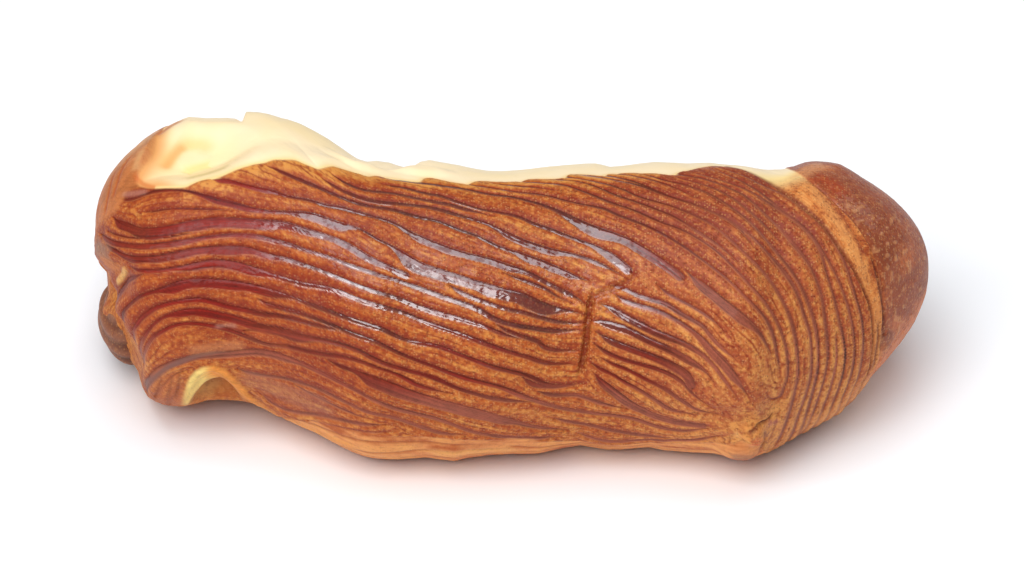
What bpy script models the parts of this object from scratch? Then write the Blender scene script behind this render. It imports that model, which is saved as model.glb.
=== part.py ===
"""A croissant: one baked roll with a scored wrap, a blunt left end and a tapered nose.

The roll is a loft of round sections along X, with the strips of the wrap, its upper edge, the
pocket, the curl and the notch at the left end raised on it or pressed into it. A fold at the
back and a pinched knot are joined to it. Metres, +Z up, the front towards -Y.
The origin is at the middle of the bottom face. Angles run round a section in degrees from
straight up, positive towards the front, and lengths along X are from the middle.
"""

import math

import bmesh
import bpy
import numpy as np

MM = 0.001

# Overall sizes
LENGTH = 170 * MM
FULL_RADIUS = 29 * MM
FLOOR_CUT = 2.8 * MM
FLOOR_EASE = 0.6 * MM

# Ends: radius = (1 - r ** power) ** root, with r from 0 where the end starts to 1 at its tip
LEFT_END_LENGTH = 19 * MM
LEFT_END_POWER = 1.6
LEFT_END_ROOT = 0.35
NOSE_LENGTH = 29 * MM
NOSE_POWER = 1.5
NOSE_ROOT = 0.56

# The roll: place along X, how far back and how high its middle lies, and its radius, in mm
ROLL = (
    (-85, 6.0, 3.6, 28.9),
    (-68, 5.7, 3.6, 29.6),
    (-56, 7.0, 3.4, 30.1),
    (-48, 5.8, 2.6, 30.7),
    (-40, 1.2, 1.2, 31.0),
    (-30, -4.4, 0.3, 30.5),
    (-20, -5.2, 0.0, 29.9),
    (-3, -5.9, 0.0, 29.2),
    (13, -3.4, 0.0, 28.9),
    (30, -4.0, 0.0, 29.2),
    (46, -7.4, 0.0, 29.3),
    (54, -4.9, 0.0, 27.8),
    (62, -0.8, 0.4, 28.0),
    (74, 1.1, 1.0, 28.3),
    (85, 4.4, 1.6, 28.5),
)

# Upper edge of the front wrap: place along X and angle
SEAM = (
    (-79, 24),
    (-68, 21),
    (-60, 16),
    (-52, 9),
    (-44, 0),
    (-34, -11),
    (-16, -24),
    (18, -28),
    (44, -33),
    (60, -55),
)
SEAM_STEP = 1.9 * MM
SEAM_EASE = 3.0
BACK_WRAP_ANGLE = -62.0
BACK_WRAP_TURN = 5.0

# Ridges of the wrap: count of each guide line from the nose, then its points (place, angle)
RIDGE_GUIDES = (
    (0, ((44, -40), (57, -12), (69, 30), (74.3, 78), (73, 103), (70, 145))),
    (1.5, ((-22, -32), (10, -22), (40, 0), (58, 35), (66, 85), (62, 145))),
    (3.5, ((-30, -20), (10, -6), (30, 15), (50, 47), (55.5, 85), (51, 145))),
    (5, ((-45, -12), (-20, -12), (0, 0), (20, 21), (40, 43), (52, 75), (53, 92))),
    (8.5, ((-79, -40), (-78, 18), (-60, 21), (-28, 14), (0, 33), (38, 62), (52, 93))),
    (10.5, ((-84.5, -40), (-83, 33), (-76, 42), (-28, 38), (0, 54), (35, 82), (50, 95))),
    (12, ((-76, 145), (-83, 88), (-76, 56), (-28, 50), (0, 67), (35, 98), (50, 98))),
    (15, ((-73, 145), (-72, 84), (-66, 76), (-28, 75), (0, 93), (35, 114), (51, 101))),
    (18.5, ((-66, 145), (-60, 103), (-50, 113), (-28, 112), (0, 126), (35, 142), (53, 103))),
)
GUIDE_STEPS = 12
RIDGE_HEIGHT = 1.4 * MM
RIDGE_FADE = 3.0
FINEST_RIDGE = 3.6
FULL_RIDGE = 5.4
NOSE_EASE = 12.0
FRONT_END = 150.0
FRONT_FADE = 20.0
BACK_RIDGE_DEGREES = 14.0
BACK_RIDGE_TWIST = 0.55
TIP_SHARE = 0.45
LEAST_SHARE = 0.25

# Hollows pressed into the roll: place along X, angle, half length, half angle, depth
POCKET = (-67, 2, 11, 17, 6.5 * MM)
UNDER_LOBE = (-84, 125, 9, 40, 5.0 * MM)
CURL_MOUTH = (-61.5, 112, 7.5, 12, 6.5 * MM)
CREASE = (15, 62, 1.6, 13, 1.3 * MM)
HOLLOWS = (POCKET, UNDER_LOBE, CURL_MOUTH, CREASE)
DIMPLE_EDGE = 1.4

# The notch in the left end: a groove that runs forwards from the tip
NOTCH_ANGLE = 50.0
NOTCH_BELOW_TIP = 3.0 * MM
NOTCH_HALF_WIDTH = 3.4 * MM
NOTCH_DEPTH = 3.4 * MM
NOTCH_BEHIND = 9.0 * MM
NOTCH_END = -73 * MM
NOTCH_EASE = 8.0 * MM

# Folds joined to the roll: middle (x, y, z) and half sizes, all in mm, and the turn about Y
REAR_FOLD = ((-77.5, 9, 10.6), (7.2, 9.5, 6.2), -12)
PINCH_KNOT = ((49, -27.5, 11.5), (5.5, 3.2, 3.6), -20)

# Mesh density
SECTION_FRONT_STEP = 3.3
SECTION_BACK_STEP = 8.0
SECTION_FRONT = (-44.0, 146.0)
STATION_STEP = 4.3 * MM
STATION_STEP_ARCS = 2.1 * MM
ARCS_START = 36 * MM
FOLD_SEGMENTS = 16
FOLD_RINGS = 10

CRUST_COLOUR = (0.40, 0.145, 0.045, 1.0)
CRUST_ROUGHNESS = 0.42


def clear_scene():
    """Removes every object, so that only the croissant is left."""
    for obj in list(bpy.data.objects):
        bpy.data.objects.remove(obj, do_unlink=True)


def make_collection(name):
    """Returns a new collection linked to the scene."""
    collection = bpy.data.collections.new(name)
    bpy.context.scene.collection.children.link(collection)
    return collection


def make_material(name, colour, roughness):
    """Returns a Principled material of one colour."""
    material = bpy.data.materials.new(name)
    material.use_nodes = True
    shader = material.node_tree.nodes["Principled BSDF"]
    shader.inputs["Base Color"].default_value = colour
    shader.inputs["Roughness"].default_value = roughness
    shader.inputs["Metallic"].default_value = 0.0
    return material


def smooth_curve(points, steps):
    """Points along a Catmull-Rom curve through the given ones, steps to each stretch."""
    p = np.array(points, float)
    ends = np.vstack([2 * p[0] - p[1], p, 2 * p[-1] - p[-2]])
    t = np.linspace(0, 1, steps, endpoint=False)[:, None]
    stretches = []
    for a, b, c, d in zip(ends, ends[1:], ends[2:], ends[3:]):
        stretches.append(
            0.5
            * (2 * b + (c - a) * t + (2 * a - 5 * b + 4 * c - d) * t**2 + (3 * b - a - 3 * c + d) * t**3)
        )
    return np.vstack(stretches + [p[-1:]])


def read_curve(table, column, x):
    """Value of one column of a table against place along X, as a smooth curve."""
    curve = smooth_curve(table, GUIDE_STEPS)
    return np.interp(x / MM, curve[:, 0], curve[:, column])


def section_radius(x):
    """Radius of the roll at x, falling to nothing at the two tips."""
    half = LENGTH / 2
    left = np.clip((-x - (half - LEFT_END_LENGTH)) / LEFT_END_LENGTH, 0, 1)
    right = np.clip((x - (half - NOSE_LENGTH)) / NOSE_LENGTH, 0, 1)
    left_share = (1 - left**LEFT_END_POWER) ** LEFT_END_ROOT
    right_share = (1 - right**NOSE_POWER) ** NOSE_ROOT
    return read_curve(ROLL, 3, x) * MM * left_share * right_share


def stations():
    """Places along X of the sections, evenly spaced along the skin and closer on the arcs."""
    half = LENGTH / 2
    x = half * np.sin(np.linspace(-math.pi / 2, math.pi / 2, 4000))
    step = np.hypot(np.diff(x), np.diff(section_radius(x)))
    spacing = np.where(x[1:] > ARCS_START, STATION_STEP_ARCS, STATION_STEP)
    walked = np.concatenate([[0], np.cumsum(step / spacing)])
    count = int(walked[-1])
    return np.interp(np.linspace(0, walked[-1], count + 1)[1:-1], walked, x)


def section_angles():
    """Angles of the points round a section, closer together on the front."""
    start, end = SECTION_FRONT
    front = np.linspace(start, end, round((end - start) / SECTION_FRONT_STEP), endpoint=False)
    back_turn = 360 - (end - start)
    back = np.linspace(end, start + 360, round(back_turn / SECTION_BACK_STEP), endpoint=False)
    return (np.concatenate([front, back]) + 180) % 360 - 180


def ease(value):
    """Goes smoothly from 0 to 1 as the value does."""
    v = np.clip(value, 0, 1)
    return v * v * (3 - 2 * v)


def distance_to(curve, x, arc):
    """Least distance on the skin from each point to a curve's points."""
    gap = np.hypot(x[..., None] - curve[:, 0], arc[..., None] - curve[:, 1])
    return gap.min(axis=-1)


def ridge_count(x, angle):
    """Ridges counted from the nose at each point, and the width of one there in mm.

    A point lies between two neighbouring guide lines, and its count is shared between
    theirs as its distances to them are.
    """
    millimetres_per_degree = math.radians(1) * FULL_RADIUS / MM
    gaps = []
    for _, points in RIDGE_GUIDES:
        curve = smooth_curve(points, GUIDE_STEPS)
        curve[:, 1] *= millimetres_per_degree
        gaps.append(distance_to(curve, x / MM, angle * millimetres_per_degree))
    gaps = np.array(gaps)
    beside = gaps[:-1] + gaps[1:]
    first = beside.argmin(axis=0)
    near = np.take_along_axis(gaps, first[None], 0)[0]
    between = np.take_along_axis(beside, first[None], 0)[0]
    counts = np.array([count for count, _ in RIDGE_GUIDES], float)
    ridges = counts[first + 1] - counts[first]
    return counts[first] + ridges * near / between, between / ridges


def wave(turns):
    """Rises from 0 to 1 and falls back once a turn."""
    return 0.5 - 0.5 * np.cos(2 * math.pi * turns)


def dimple(x, angle, place):
    """Depth of a smooth hollow at each point: full in its middle, nothing past its edge."""
    middle_x, middle_angle, half_length, half_angle, depth = place
    reach = np.hypot((x / MM - middle_x) / half_length, (angle - middle_angle) / half_angle)
    return depth * ease(DIMPLE_EDGE - reach)


def ridge_shape(x, angle):
    """Ridge heights from 0 to 1: along the guide lines in front, along a twist behind."""
    count, width = ridge_count(x, angle)
    front = wave(count) * ease((width - FINEST_RIDGE) / (FULL_RIDGE - FINEST_RIDGE))
    behind = wave((angle + BACK_RIDGE_TWIST * x / MM) / BACK_RIDGE_DEGREES)
    in_front = ease((FRONT_END - angle) / FRONT_FADE) * (angle > BACK_WRAP_ANGLE)
    return front * in_front + behind * (1 - in_front)


def wrap_cover(x, angle):
    """1 where the wrap covers the roll and 0 on the bare strip along the top."""
    seam = read_curve(SEAM, 1, x)
    in_front = ease((angle - seam) / SEAM_EASE + 0.5)
    behind = ease((BACK_WRAP_ANGLE - angle) / BACK_WRAP_TURN + 0.5)
    return np.maximum(in_front, behind)


def notch_depth(x, angle):
    """Depth of the notch, from how far along and across its line each point lies."""
    turn = np.radians(angle - NOTCH_ANGLE)
    along = section_radius(x) * np.cos(turn)
    across = section_radius(x) * np.sin(turn) - NOTCH_BELOW_TIP
    inside = ease(DIMPLE_EDGE - np.abs(across) / NOTCH_HALF_WIDTH)
    return NOTCH_DEPTH * inside * ease(1 + along / NOTCH_BEHIND) * ease((NOTCH_END - x) / NOTCH_EASE)


def crust_height(x, angle):
    """How far the crust stands out from the plain roll, in metres, at each point."""
    covered = wrap_cover(x, angle)
    nose_edge = smooth_curve(RIDGE_GUIDES[0][1], GUIDE_STEPS)
    before_nose = np.interp(angle, nose_edge[:, 1], nose_edge[:, 0]) - x / MM
    near_tip = ease(section_radius(x) / (TIP_SHARE * FULL_RADIUS))
    raised = covered * ease(before_nose / RIDGE_FADE + 0.5) * near_tip
    sunk = (1 - covered) * ease(before_nose / NOSE_EASE) * near_tip
    height = RIDGE_HEIGHT * raised * ridge_shape(x, angle) - SEAM_STEP * sunk
    for place in HOLLOWS:
        height -= dimple(x, angle, place)
    return height - notch_depth(x, angle)


def settle(z):
    """Flattens what would reach below the floor, with a short ease at the edge of the flat."""
    eased = (z + FLOOR_EASE) ** 2 / (4 * FLOOR_EASE)
    return np.where(z < -FLOOR_EASE, 0.0, np.where(z < FLOOR_EASE, eased, z))


def middle_line(x):
    """How far back and how high the middle of the section at x lies."""
    back = read_curve(ROLL, 1, x) * MM
    lift = read_curve(ROLL, 2, x) * MM
    return back, read_curve(ROLL, 3, x) * MM - FLOOR_CUT + lift


def roll_points():
    """Points of the loft, one row to a section, and its two tips.

    The crust's height is laid off along the skin's normal, which leans along X where the
    radius changes.
    """
    x, angle = np.meshgrid(stations(), section_angles(), indexing="ij")
    plain = section_radius(x)
    lean = np.arctan(np.gradient(plain[:, 0], x[:, 0]))[:, None]
    height = crust_height(x, angle)
    radius = np.maximum(plain + height * np.cos(lean), LEAST_SHARE * plain)
    turn = np.radians(angle)
    back, middle = middle_line(x)
    y = back - radius * np.sin(turn)
    z = settle(middle + radius * np.cos(turn))
    rows = np.stack([x - height * np.sin(lean), y, z], axis=-1)
    ends = np.array([-LENGTH / 2, LENGTH / 2])
    tips = np.stack([ends, *middle_line(ends)], axis=-1)
    tips[0, 0] += notch_depth(ends[:1], np.zeros(1))[0]
    outline = np.vstack([rows.reshape(-1, 3), tips])[:, :2]
    middle_of_box = (outline.min(axis=0) + outline.max(axis=0)) / 2
    rows[..., :2] -= middle_of_box
    tips[:, :2] -= middle_of_box
    return rows, tips


def make_roll(collection, material):
    """The roll itself: sections joined by a loft, closed by a fan at each tip."""
    rows, tips = roll_points()
    count, around = rows.shape[:2]
    index = np.arange(count * around).reshape(count, around)
    after = np.roll(index, -1, axis=1)
    quads = np.stack([index[:-1], after[:-1], after[1:], index[1:]], axis=-1).reshape(-1, 4)
    left, right = count * around, count * around + 1
    left_fan = [(left, b, a) for a, b in zip(index[0], after[0])]
    right_fan = [(right, a, b) for a, b in zip(index[-1], after[-1])]
    mesh = bpy.data.meshes.new("croissant")
    mesh.from_pydata(
        rows.reshape(-1, 3).tolist() + tips.tolist(),
        [],
        quads.tolist() + left_fan + right_fan,
    )
    tidy = bmesh.new()
    tidy.from_mesh(mesh)
    bmesh.ops.recalc_face_normals(tidy, faces=tidy.faces)
    bmesh.ops.triangulate(tidy, faces=tidy.faces)
    tidy.to_mesh(mesh)
    tidy.free()
    roll = bpy.data.objects.new("croissant", mesh)
    collection.objects.link(roll)
    mesh.materials.append(material)
    return roll


def make_fold(name, collection, place):
    """A rounded lump of dough: a sphere stretched to its half sizes and turned about Y."""
    middle, half_sizes, turn = place
    mesh = bpy.data.meshes.new(name)
    shape = bmesh.new()
    bmesh.ops.create_uvsphere(shape, u_segments=FOLD_SEGMENTS, v_segments=FOLD_RINGS, radius=1.0)
    bmesh.ops.scale(shape, vec=[size * MM for size in half_sizes], verts=shape.verts)
    shape.to_mesh(mesh)
    shape.free()
    fold = bpy.data.objects.new(name, mesh)
    fold.location = [value * MM for value in middle]
    fold.rotation_euler[1] = math.radians(turn)
    fold.hide_render = True
    fold.display_type = "WIRE"
    collection.objects.link(fold)
    return fold


def join(body, other):
    """Adds a Boolean modifier that joins the other shape to the body."""
    modifier = body.modifiers.new(f"with {other.name}", "BOOLEAN")
    modifier.operation = "UNION"
    modifier.solver = "EXACT"
    modifier.object = other


def main():
    """Builds the croissant."""
    clear_scene()
    parts = make_collection("croissant_parts")
    shapers = make_collection("croissant_shapers")
    crust = make_material("baked_crust", CRUST_COLOUR, CRUST_ROUGHNESS)
    body = make_roll(parts, crust)
    for name, place in (("rear_fold", REAR_FOLD), ("pinch_knot", PINCH_KNOT)):
        join(body, make_fold(name, shapers, place))
    body.data.shade_smooth()


main()
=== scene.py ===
"""A baked croissant, seen from above and in front, on a plain pale floor.

The crust is one closed skin. A plain rolled form is worked out first, then everything that
stands out from it or sinks into it is a height laid off along its normal: the strips of
laminated dough that wind round the roll, the bare dough along the top, the folded left end,
the pressed crease and the pinched tail. Places on the skin are given as (x, angle): x in
millimetres along the roll, and the angle round a section in degrees, 0 at the top and
positive towards the front.
"""

import logging
import math
from dataclasses import dataclass, field
from enum import Enum, IntEnum

import bpy
import numpy as np
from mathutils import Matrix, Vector


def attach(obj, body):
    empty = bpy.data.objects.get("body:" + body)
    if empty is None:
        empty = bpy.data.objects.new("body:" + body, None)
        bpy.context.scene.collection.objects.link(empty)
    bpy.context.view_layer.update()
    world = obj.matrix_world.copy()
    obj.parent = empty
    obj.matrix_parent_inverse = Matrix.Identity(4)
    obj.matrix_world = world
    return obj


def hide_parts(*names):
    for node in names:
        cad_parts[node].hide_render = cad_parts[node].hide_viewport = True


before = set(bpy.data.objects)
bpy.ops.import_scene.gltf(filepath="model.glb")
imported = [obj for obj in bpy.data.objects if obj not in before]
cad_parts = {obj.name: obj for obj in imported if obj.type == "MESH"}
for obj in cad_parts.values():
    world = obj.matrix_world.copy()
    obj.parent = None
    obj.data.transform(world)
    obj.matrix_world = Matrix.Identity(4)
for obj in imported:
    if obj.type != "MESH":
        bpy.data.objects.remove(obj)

LOG = logging.getLogger("croissant")
MM = 0.001
BODY = "root"
CAD_NODE = "croissant"
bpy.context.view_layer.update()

# Millimetres to a degree round the roll, and how far the skin is moved over the random
# fields, as those fields take them
DEGREE_MM = 0.506
FIELD_SHIFT = (300, 200)

Place = tuple[float, float]
Route = tuple[Place, ...]


# ---------------------------------------------------------------------------------------
# Arithmetic on arrays
# ---------------------------------------------------------------------------------------


def ease(value: np.ndarray) -> np.ndarray:
    """Goes smoothly from 0 to 1 as the value does: 3 v^2 - 2 v^3."""
    v = np.clip(value, 0.0, 1.0)
    return v * v * (3 - 2 * v)


def bell(value: np.ndarray) -> np.ndarray:
    """A bell: 1 at zero, falling as exp(-v^2)."""
    return np.exp(-np.square(value))


def mix(first: np.ndarray, second: np.ndarray, share: np.ndarray) -> np.ndarray:
    """The first value where the share is 0, and the second where it is 1."""
    return first + (second - first) * share


def tinted(under: np.ndarray, over: np.ndarray, share: np.ndarray) -> np.ndarray:
    """One colour laid over another by a share at each point."""
    return mix(under, over, share[..., None])


def rising(value: np.ndarray, start: float | np.ndarray, length: float | np.ndarray) -> np.ndarray:
    """Goes smoothly from 0 at a start to 1 a length beyond it."""
    return ease((value - start) / length)


def falling(value: np.ndarray, end: float | np.ndarray, length: float | np.ndarray) -> np.ndarray:
    """Goes smoothly from 1, a length before an end, to 0 at that end."""
    return ease((end - value) / length)


def hump(value: np.ndarray, middle: float, width: float) -> np.ndarray:
    """A bell of the distance from a middle, measured in widths."""
    return bell((value - middle) / width)


def smooth_route(points: Route | np.ndarray, steps: int) -> np.ndarray:
    """A smooth curve through points.

    Formula: a Catmull-Rom curve, a cubic between each two points whose slope at a point is
    half the way from the point before it to the point after it.

    Args:
        points: the points, two or more numbers each.
        steps: points made for each stretch.

    Returns:
        The points of the curve, one row each.
    """
    p = np.array(points, float)
    ends = np.vstack([2 * p[0] - p[1], p, 2 * p[-1] - p[-2]])
    t = np.linspace(0, 1, steps, endpoint=False)[:, None]
    stretches = []
    for a, b, c, d in zip(ends, ends[1:], ends[2:], ends[3:]):
        bend = (2 * a - 5 * b + 4 * c - d) * t**2 + (3 * b - a - 3 * c + d) * t**3
        stretches.append(0.5 * (2 * b + (c - a) * t + bend))
    return np.vstack(stretches + [p[-1:]])


def walk(points: np.ndarray) -> np.ndarray:
    """Length walked along a chain of points, from its first."""
    step = np.linalg.norm(np.diff(points, axis=0), axis=1)
    return np.concatenate([[0.0], np.cumsum(step)])


def blur(values: np.ndarray, passes: int, axis: int | None = None) -> np.ndarray:
    """Softens an array over its grid.

    Formula: each pass replaces a value by a quarter of each neighbour and half of itself.

    Args:
        values: the array, rows round the roll and columns along it.
        passes: how many times it is done.
        axis: 0 or 1 to soften along one axis only.

    Returns:
        The softened array.
    """
    out = values
    for _ in range(passes):
        for side in (0, 1) if axis is None else (axis,):
            pad = [(0, 0), (0, 0)]
            pad[side] = (1, 1)
            wide = np.pad(out, pad, mode="edge")
            if side == 0:
                out = 0.25 * (wide[:-2] + wide[2:]) + 0.5 * out
            else:
                out = 0.25 * (wide[:, :-2] + wide[:, 2:]) + 0.5 * out
    return out


def noise(seed: int, across: np.ndarray, around: np.ndarray, size: float) -> np.ndarray:
    """Smooth random values from -1 to 1 over the plane.

    Formula: a random number at each corner of a square lattice, mixed over each square by
    smooth steps of the place in it. The lattice repeats after 256 squares.

    Args:
        seed: picks the random numbers.
        across: first coordinate.
        around: second coordinate, in the same unit.
        size: side of a square.

    Returns:
        The values, in the shape of the coordinates.
    """
    table = np.random.default_rng(seed).uniform(-1, 1, (256, 256))
    column, row = np.floor(across / size).astype(int), np.floor(around / size).astype(int)
    a, b = ease(across / size - column), ease(around / size - row)
    left, right = column % 256, (column + 1) % 256
    low, high = row % 256, (row + 1) % 256
    first = mix(table[low, left], table[low, right], a)
    return mix(first, mix(table[high, left], table[high, right], a), b)


def cloud(seed: int, across: np.ndarray, around: np.ndarray, size: float, layers: int = 3) -> np.ndarray:
    """Noise of several sizes, each half the size and 0.55 of the strength of the one before.

    Formula: the sum of the layers' noise times their strengths, over the sum of the
    strengths.

    Args:
        seed: picks the random numbers of the first layer; each next one adds 17.
        across: first coordinate.
        around: second coordinate, in the same unit.
        size: the size of the largest patches.
        layers: how many sizes are added up.

    Returns:
        The values from -1 to 1, in the shape of the coordinates.
    """
    total, strength, value = 0.0, 1.0, np.zeros(np.shape(across))
    for layer in range(layers):
        value = value + strength * noise(seed + 17 * layer, across, around, size / 2**layer)
        total, strength = total + strength, strength * 0.55
    return value / total


def colour(red: float, green: float, blue: float) -> np.ndarray:
    """A colour seen on a screen, 0 to 255 a channel, as the linear light it stands for."""
    share = np.array([red, green, blue]) / 255
    return np.where(share <= 0.04045, share / 12.92, ((share + 0.055) / 1.055) ** 2.4)


class Seed(IntEnum):
    """Names of the random fields, each with the number that it is drawn from."""

    STREAKS = 5
    LONG_STREAKS = 6
    SEAM_WANDER = 11
    RIM_SWELL = 19
    CRACK_DEPTH = 20
    PITS = 21
    STRIP_SWELL = 22
    CREAM_SWELL = 23
    CREAM_RIPPLE = 24
    GILT_SWELL = 25
    NOSE_SWELL = 26
    NOSE_RIPPLE = 27
    BASE_SWELL = 28
    BASE_RIPPLE = 29
    BAND_RIPPLE = 30
    SLOW = 31
    MIDDLE = 32
    FINE = 33
    BAND_RED = 34
    CREAM_WARM = 35
    BLISTERS = 36
    CRACK_SHADE = 38
    GLEAMS = 39
    BACK_SWAY = 40
    BASE_GRAIN = 41
    LINE_WANDER = 42
    LINE_BREAKS = 43
    STRIP_SPECKS = 45
    BACK_EDGE = 46
    NOSE_TONE = 48
    NOSE_MOTTLE = 49
    BAND_SWAY = 500
    BAND_WIDTH = 900


# ---------------------------------------------------------------------------------------
# The plain rolled form
# ---------------------------------------------------------------------------------------


@dataclass
class RolledForm:
    """The plain roll under the crust, in millimetres: a chain of round sections.

    Attributes:
        sections: x, how far back, how far up from lying on the floor, and radius.
        left_end: x and radius of the blunt left end.
        nose_length: how long the tapered right end is.
        nose_powers: the powers that shape its taper.
        floor_cut: how much of the roll's underside is pressed flat.
        floor_ease: how softly it passes into the flat part.
        centring: how far the sections are moved forwards, to centre the box.
        pitch: distance between the grid's points along the roll.
        front: the angles between which the grid is fine.
        front_step: degrees between the grid's rows there.
        back_step: degrees between them elsewhere.
    """

    sections: tuple = (
        (-85, 6.0, 3.6, 28.9),
        (-68, 5.7, 3.6, 29.6),
        (-56, 7.0, 3.4, 30.1),
        (-48, 5.8, 2.6, 30.7),
        (-40, 1.2, 1.2, 31.0),
        (-30, -4.4, 0.3, 30.5),
        (-20, -5.2, 0.0, 29.9),
        (-3, -5.9, 0.0, 29.2),
        (13, -3.4, 0.0, 28.9),
        (30, -4.0, 0.0, 29.2),
        (46, -7.4, 0.0, 29.3),
        (54, -4.9, 0.0, 27.8),
        (62, -0.8, 0.4, 28.0),
        (74, 1.1, 1.0, 28.3),
        (85, 4.4, 1.6, 28.5),
    )
    left_end: tuple = (
        (-84.3, 0),
        (-84.3, 6),
        (-84.2, 11),
        (-83.6, 14.8),
        (-82.1, 18.6),
        (-79.6, 22.3),
        (-76, 25.6),
        (-72, 27.9),
        (-68, 29.3),
        (-64, 29.85),
        (-60, 29.95),
    )
    nose_length: float = 29.0
    nose_powers: tuple[float, float] = (1.5, 0.56)
    floor_cut: float = 2.8
    floor_ease: float = 0.6
    centring: float = 0.26
    pitch: float = 0.25
    front: tuple[float, float] = (-64.0, 152.0)
    front_step: float = 0.46
    back_step: float = 1.0

    def __post_init__(self) -> None:
        """Works out the meridian and the grid."""
        table = smooth_route(self.sections, 12)
        left = smooth_route(self.left_end, 16)
        half = self.sections[-1][0]
        start = half - self.nose_length
        middle_x = np.linspace(left[-1, 0], start, 400)[1:]
        nose_x = start + self.nose_length * np.sin(np.linspace(0, math.pi / 2, 300))[1:]
        body = np.interp(np.concatenate([middle_x, nose_x]), table[:, 0], table[:, 3])
        taper = np.clip((nose_x - start) / self.nose_length, 0, 1)
        power, root = self.nose_powers
        body[len(middle_x) :] *= (1 - taper**power) ** root
        outline = np.vstack([left, np.column_stack([np.concatenate([middle_x, nose_x]), body])])
        length = walk(outline)
        zero = np.interp(0.0, outline[:, 0], length)
        count = int(length[-1] / self.pitch)
        self.along = np.linspace(length[0], length[-1], count)[1:-1] - zero
        self._length, self._outline, self._table = length - zero, outline, table
        start, end = self.front
        fine = np.linspace(start, end, round((end - start) / self.front_step), endpoint=False)
        turn = 360 - (end - start)
        coarse = np.linspace(end, start + 360, round(turn / self.back_step), endpoint=False)
        self.angles = np.concatenate([fine, coarse])

    def meridian(self, along: np.ndarray) -> tuple[np.ndarray, np.ndarray]:
        """X and radius at lengths along the skin, from x = 0."""
        x = np.interp(along, self._length, self._outline[:, 0])
        return x, np.interp(along, self._length, self._outline[:, 1])

    def along_at(self, x: np.ndarray) -> np.ndarray:
        """Length along the skin at places along X."""
        rise = self._outline[:, 0] + 1e-6 * np.arange(len(self._outline))
        return np.interp(x, rise, self._length)

    def middle_at(self, x: np.ndarray) -> np.ndarray:
        """Height of the sections' middles over the floor at places along X."""
        radius = np.interp(x, self._table[:, 0], self._table[:, 3])
        return radius - self.floor_cut + np.interp(x, self._table[:, 0], self._table[:, 2])

    def points(self, height: np.ndarray) -> np.ndarray:
        """Points of the skin, raised along its normal.

        Formula: the radius and x move by the height times the normal's two parts, then a
        point lies at the section's middle plus the radius turned by its angle, and what
        would be below the floor is pressed flat.

        Args:
            height: how far each point stands out, rows round the roll, in millimetres.

        Returns:
            The points in metres, with a last axis of three.
        """
        x, radius = self.meridian(self.along)
        lean_x, lean_r = np.gradient(x, self.along), np.gradient(radius, self.along)
        lean_x, lean_r = blur(lean_x[None], 24, 1)[0], blur(lean_r[None], 24, 1)[0]
        size = np.hypot(lean_x, lean_r)
        out_x, out_r = -lean_r / size, lean_x / size
        place = x + height * out_x
        reach = np.maximum(radius + height * out_r, 0.02 * radius)
        back = np.interp(x, self._table[:, 0], self._table[:, 1]) - self.centring
        middle = self.middle_at(x)
        turn = np.radians(self.angles)[:, None]
        y = back - reach * np.sin(turn)
        z = self.settle(middle + reach * np.cos(turn))
        return np.stack([place, y, z], axis=-1) * MM

    def settle(self, z: np.ndarray) -> np.ndarray:
        """Flattens what would reach below the floor, with a short ease at its edge."""
        eased = (z + self.floor_ease) ** 2 / (4 * self.floor_ease)
        return np.where(z < -self.floor_ease, 0.0, np.where(z < self.floor_ease, eased, z))


# ---------------------------------------------------------------------------------------
# The glossy bands between the strips
# ---------------------------------------------------------------------------------------


@dataclass(frozen=True)
class Band:
    """One dark glossy band, the flat edge of a strip, along the route of its upper edge.

    Attributes:
        route: (x, angle) of its points. The band lies on the right hand side of its route.
        width: how wide it is, in millimetres.
        wide: stretches that are wider than the rest: from x, to x and width.
        blunt: whether its far end is round and full, not drawn out.
        centred: whether it lies on both sides of its route.
    """

    route: Route
    width: float = 1.0
    wide: tuple[tuple[float, float, float], ...] = ()
    blunt: bool = False
    centred: bool = False


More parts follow.
